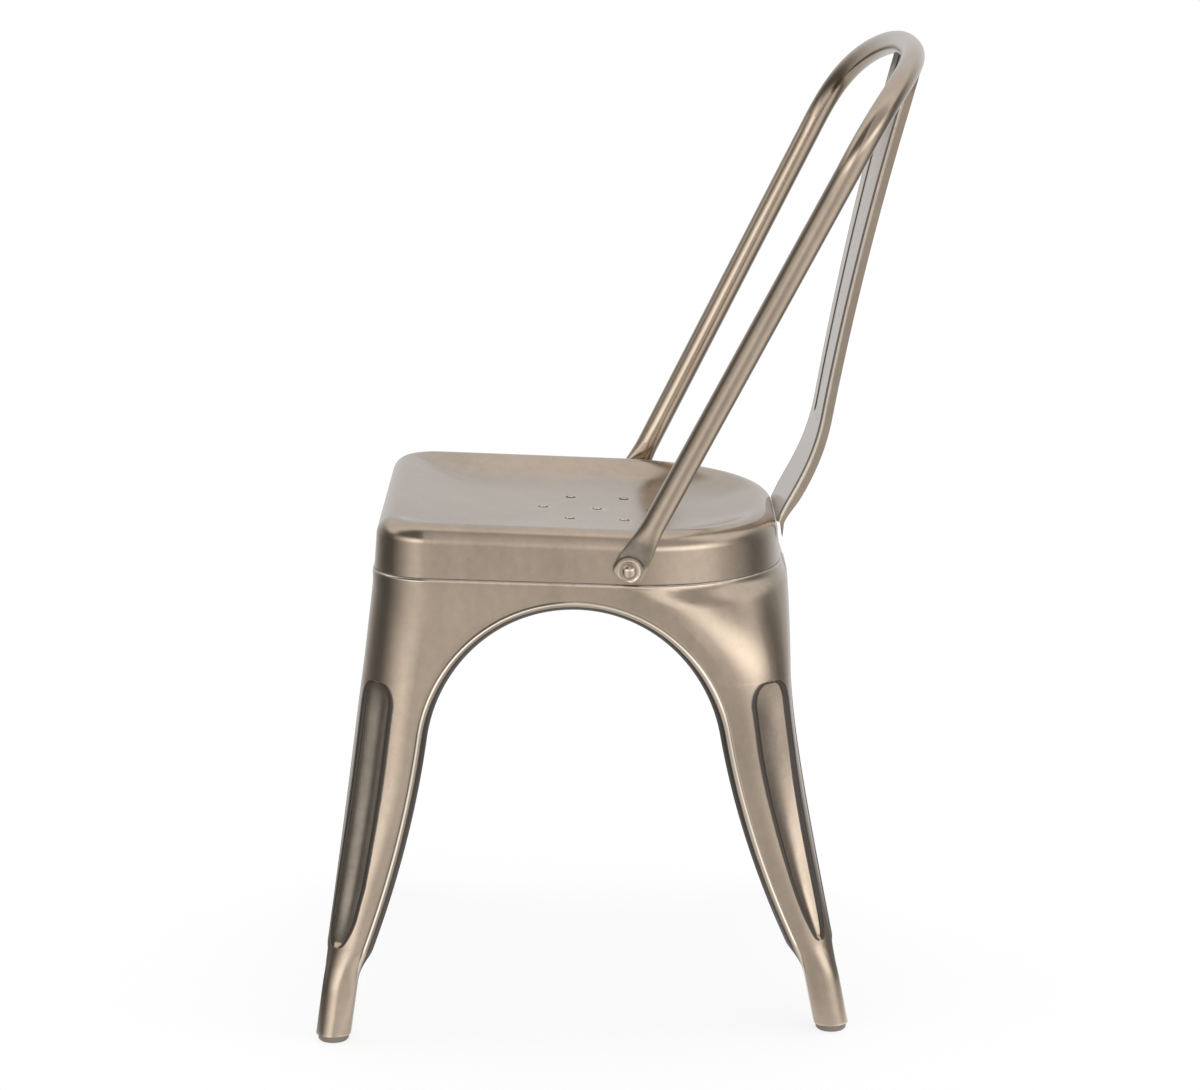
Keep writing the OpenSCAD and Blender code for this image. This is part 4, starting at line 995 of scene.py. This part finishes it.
# ---------------- floor and studio
# A wide pale floor under a plain white room. The light is soft from above. Round the chair it is
# brightest on both sides of the viewer, with dark stretches towards the chair's front and back,
# and the curved steel sees the same room mirrored below.
far, floor_light, light_share = 40, 1.13, 0.72
floor = mesh_piece("floor", [(-far, -far, 0), (far, -far, 0), (far, far, 0), (-far, far, 0)],
                   [(0, 1, 2, 3)], placed=False)
f = Finish("white_floor")
paint = f.make("ShaderNodeBsdfPrincipled", {}, {
    "Base Color": (0.86, 0.86, 0.86), "Roughness": 0.9, "Specular IOR Level": 0.1})
glow = f.make("ShaderNodeEmission", {}, {"Color": (1, 1, 1), "Strength": floor_light})
seen = f.make("ShaderNodeLightPath", out="Is Camera Ray")
room_round = [(0.0, 0.72), (0.083, 0.7), (0.133, 0.5), (0.18, 0.25), (0.228, 0.15), (0.278, 0.16), (0.317, 0.36),
              (0.361, 0.72), (0.4, 1.05), (0.439, 1.25), (0.472, 1.0), (0.5, 0.74), (0.542, 0.74), (0.583, 0.95),
              (0.633, 1.2), (0.667, 1.2), (0.708, 0.85), (0.756, 0.48), (0.8, 0.2), (0.833, 0.28), (0.875, 0.6),
              (0.917, 0.75), (1.0, 0.72)]


def round_room(x, y):
    """Light by direction round the chair: 0.5 is behind the viewer, less is towards the chair's front."""
    return x.finish.ramp(y.math("ARCTAN2", x) / (2 * pi) + 0.5, room_round, "LINEAR")


def three_ways(f, where):
    x = f.make("ShaderNodeSeparateXYZ", {}, {0: where})
    return x, x.beside("Y"), x.beside("Z")


x, y, z = three_ways(f, f.make("ShaderNodeTexCoord", out="Object"))
mirrored = f.make("ShaderNodeEmission", {}, {"Color": round_room(x, y), "Strength": 1.0})
mix = f.make("ShaderNodeMixShader", {}, {0: seen * light_share, 1: paint, 2: glow})
mix = f.make("ShaderNodeMixShader", {}, {0: seen.beside("Is Glossy Ray"), 1: mix, 2: mirrored})
floor.data.materials.append(f.done(mix))

room = bpy.data.worlds.new("white_room")
bpy.context.scene.world = room
f = Finish("white_room", room)
x, y, z = three_ways(f, f.make("ShaderNodeTexCoord", out="Generated"))
# the roof: brightest overhead, and on the viewer's side dark but for a strip above the viewer
far_roof = f.ramp(x + 1, [(0.0, 0.84), (0.5, 1.0), (0.85, 1.15), (1.0, 1.3)])
off_axis = f.step(y * y / (x * x + y * y + 0.0001), 0.001, 0.014)
to_viewer = f.step(x, -0.12, 0.28)
to_back = f.step(y, -0.05, 0.12)
roof = f.blend("MIX", to_viewer, far_roof, 1.12 - off_axis * (0.92 - to_back * 0.42))
# the walls: stronger higher up, on the viewer's side
gain = 1 + f.step(z, 0.05, 0.2) * to_viewer * (off_axis * 0.95 + 0.1)
walls = f.times(round_room(x, y), gain)
light = f.blend("MIX", f.step(z, 0.32, 0.56), walls, roof)
studio = f.make("ShaderNodeBackground", {}, {"Color": light, "Strength": 1.0})
white = f.make("ShaderNodeBackground", {}, {"Color": (1, 1, 1), "Strength": 1.0})
seen = f.make("ShaderNodeLightPath", out="Is Camera Ray")
f.done(f.make("ShaderNodeMixShader", {}, {0: seen, 1: studio, 2: white}), "ShaderNodeOutputWorld")

# ---------------- camera and view transform
# The viewer stands at the sitter's left, square to the side of the chair, and looks a little down
# on the seat through a long lens.
yaw, pitch, roll = radians(0.034), radians(12.117), radians(-0.177)
stand = (3.300354, -0.020262, 1.092234)
focal_px, picture_w, film_w = 3781.011, 1200, 36
look = Vector((-cos(yaw) * cos(pitch), sin(yaw) * cos(pitch), -sin(pitch)))
across_view = look.cross(Vector((0, 0, 1))).normalized()
up_view = across_view.cross(look)
right = across_view * cos(roll) + up_view * sin(roll)
top = up_view * cos(roll) - across_view * sin(roll)
lens = bpy.data.cameras.new("viewer")
lens.sensor_fit, lens.sensor_width, lens.lens = "HORIZONTAL", film_w, focal_px * film_w / picture_w
lens.clip_end = 60
viewer = bpy.data.objects.new("viewer", lens)
bpy.context.collection.objects.link(viewer)
viewer.matrix_world = Matrix.Translation(stand) @ Matrix((right, top, -look)).transposed().to_4x4()
bpy.context.scene.camera = viewer
bpy.context.scene.view_settings.view_transform = "Standard"
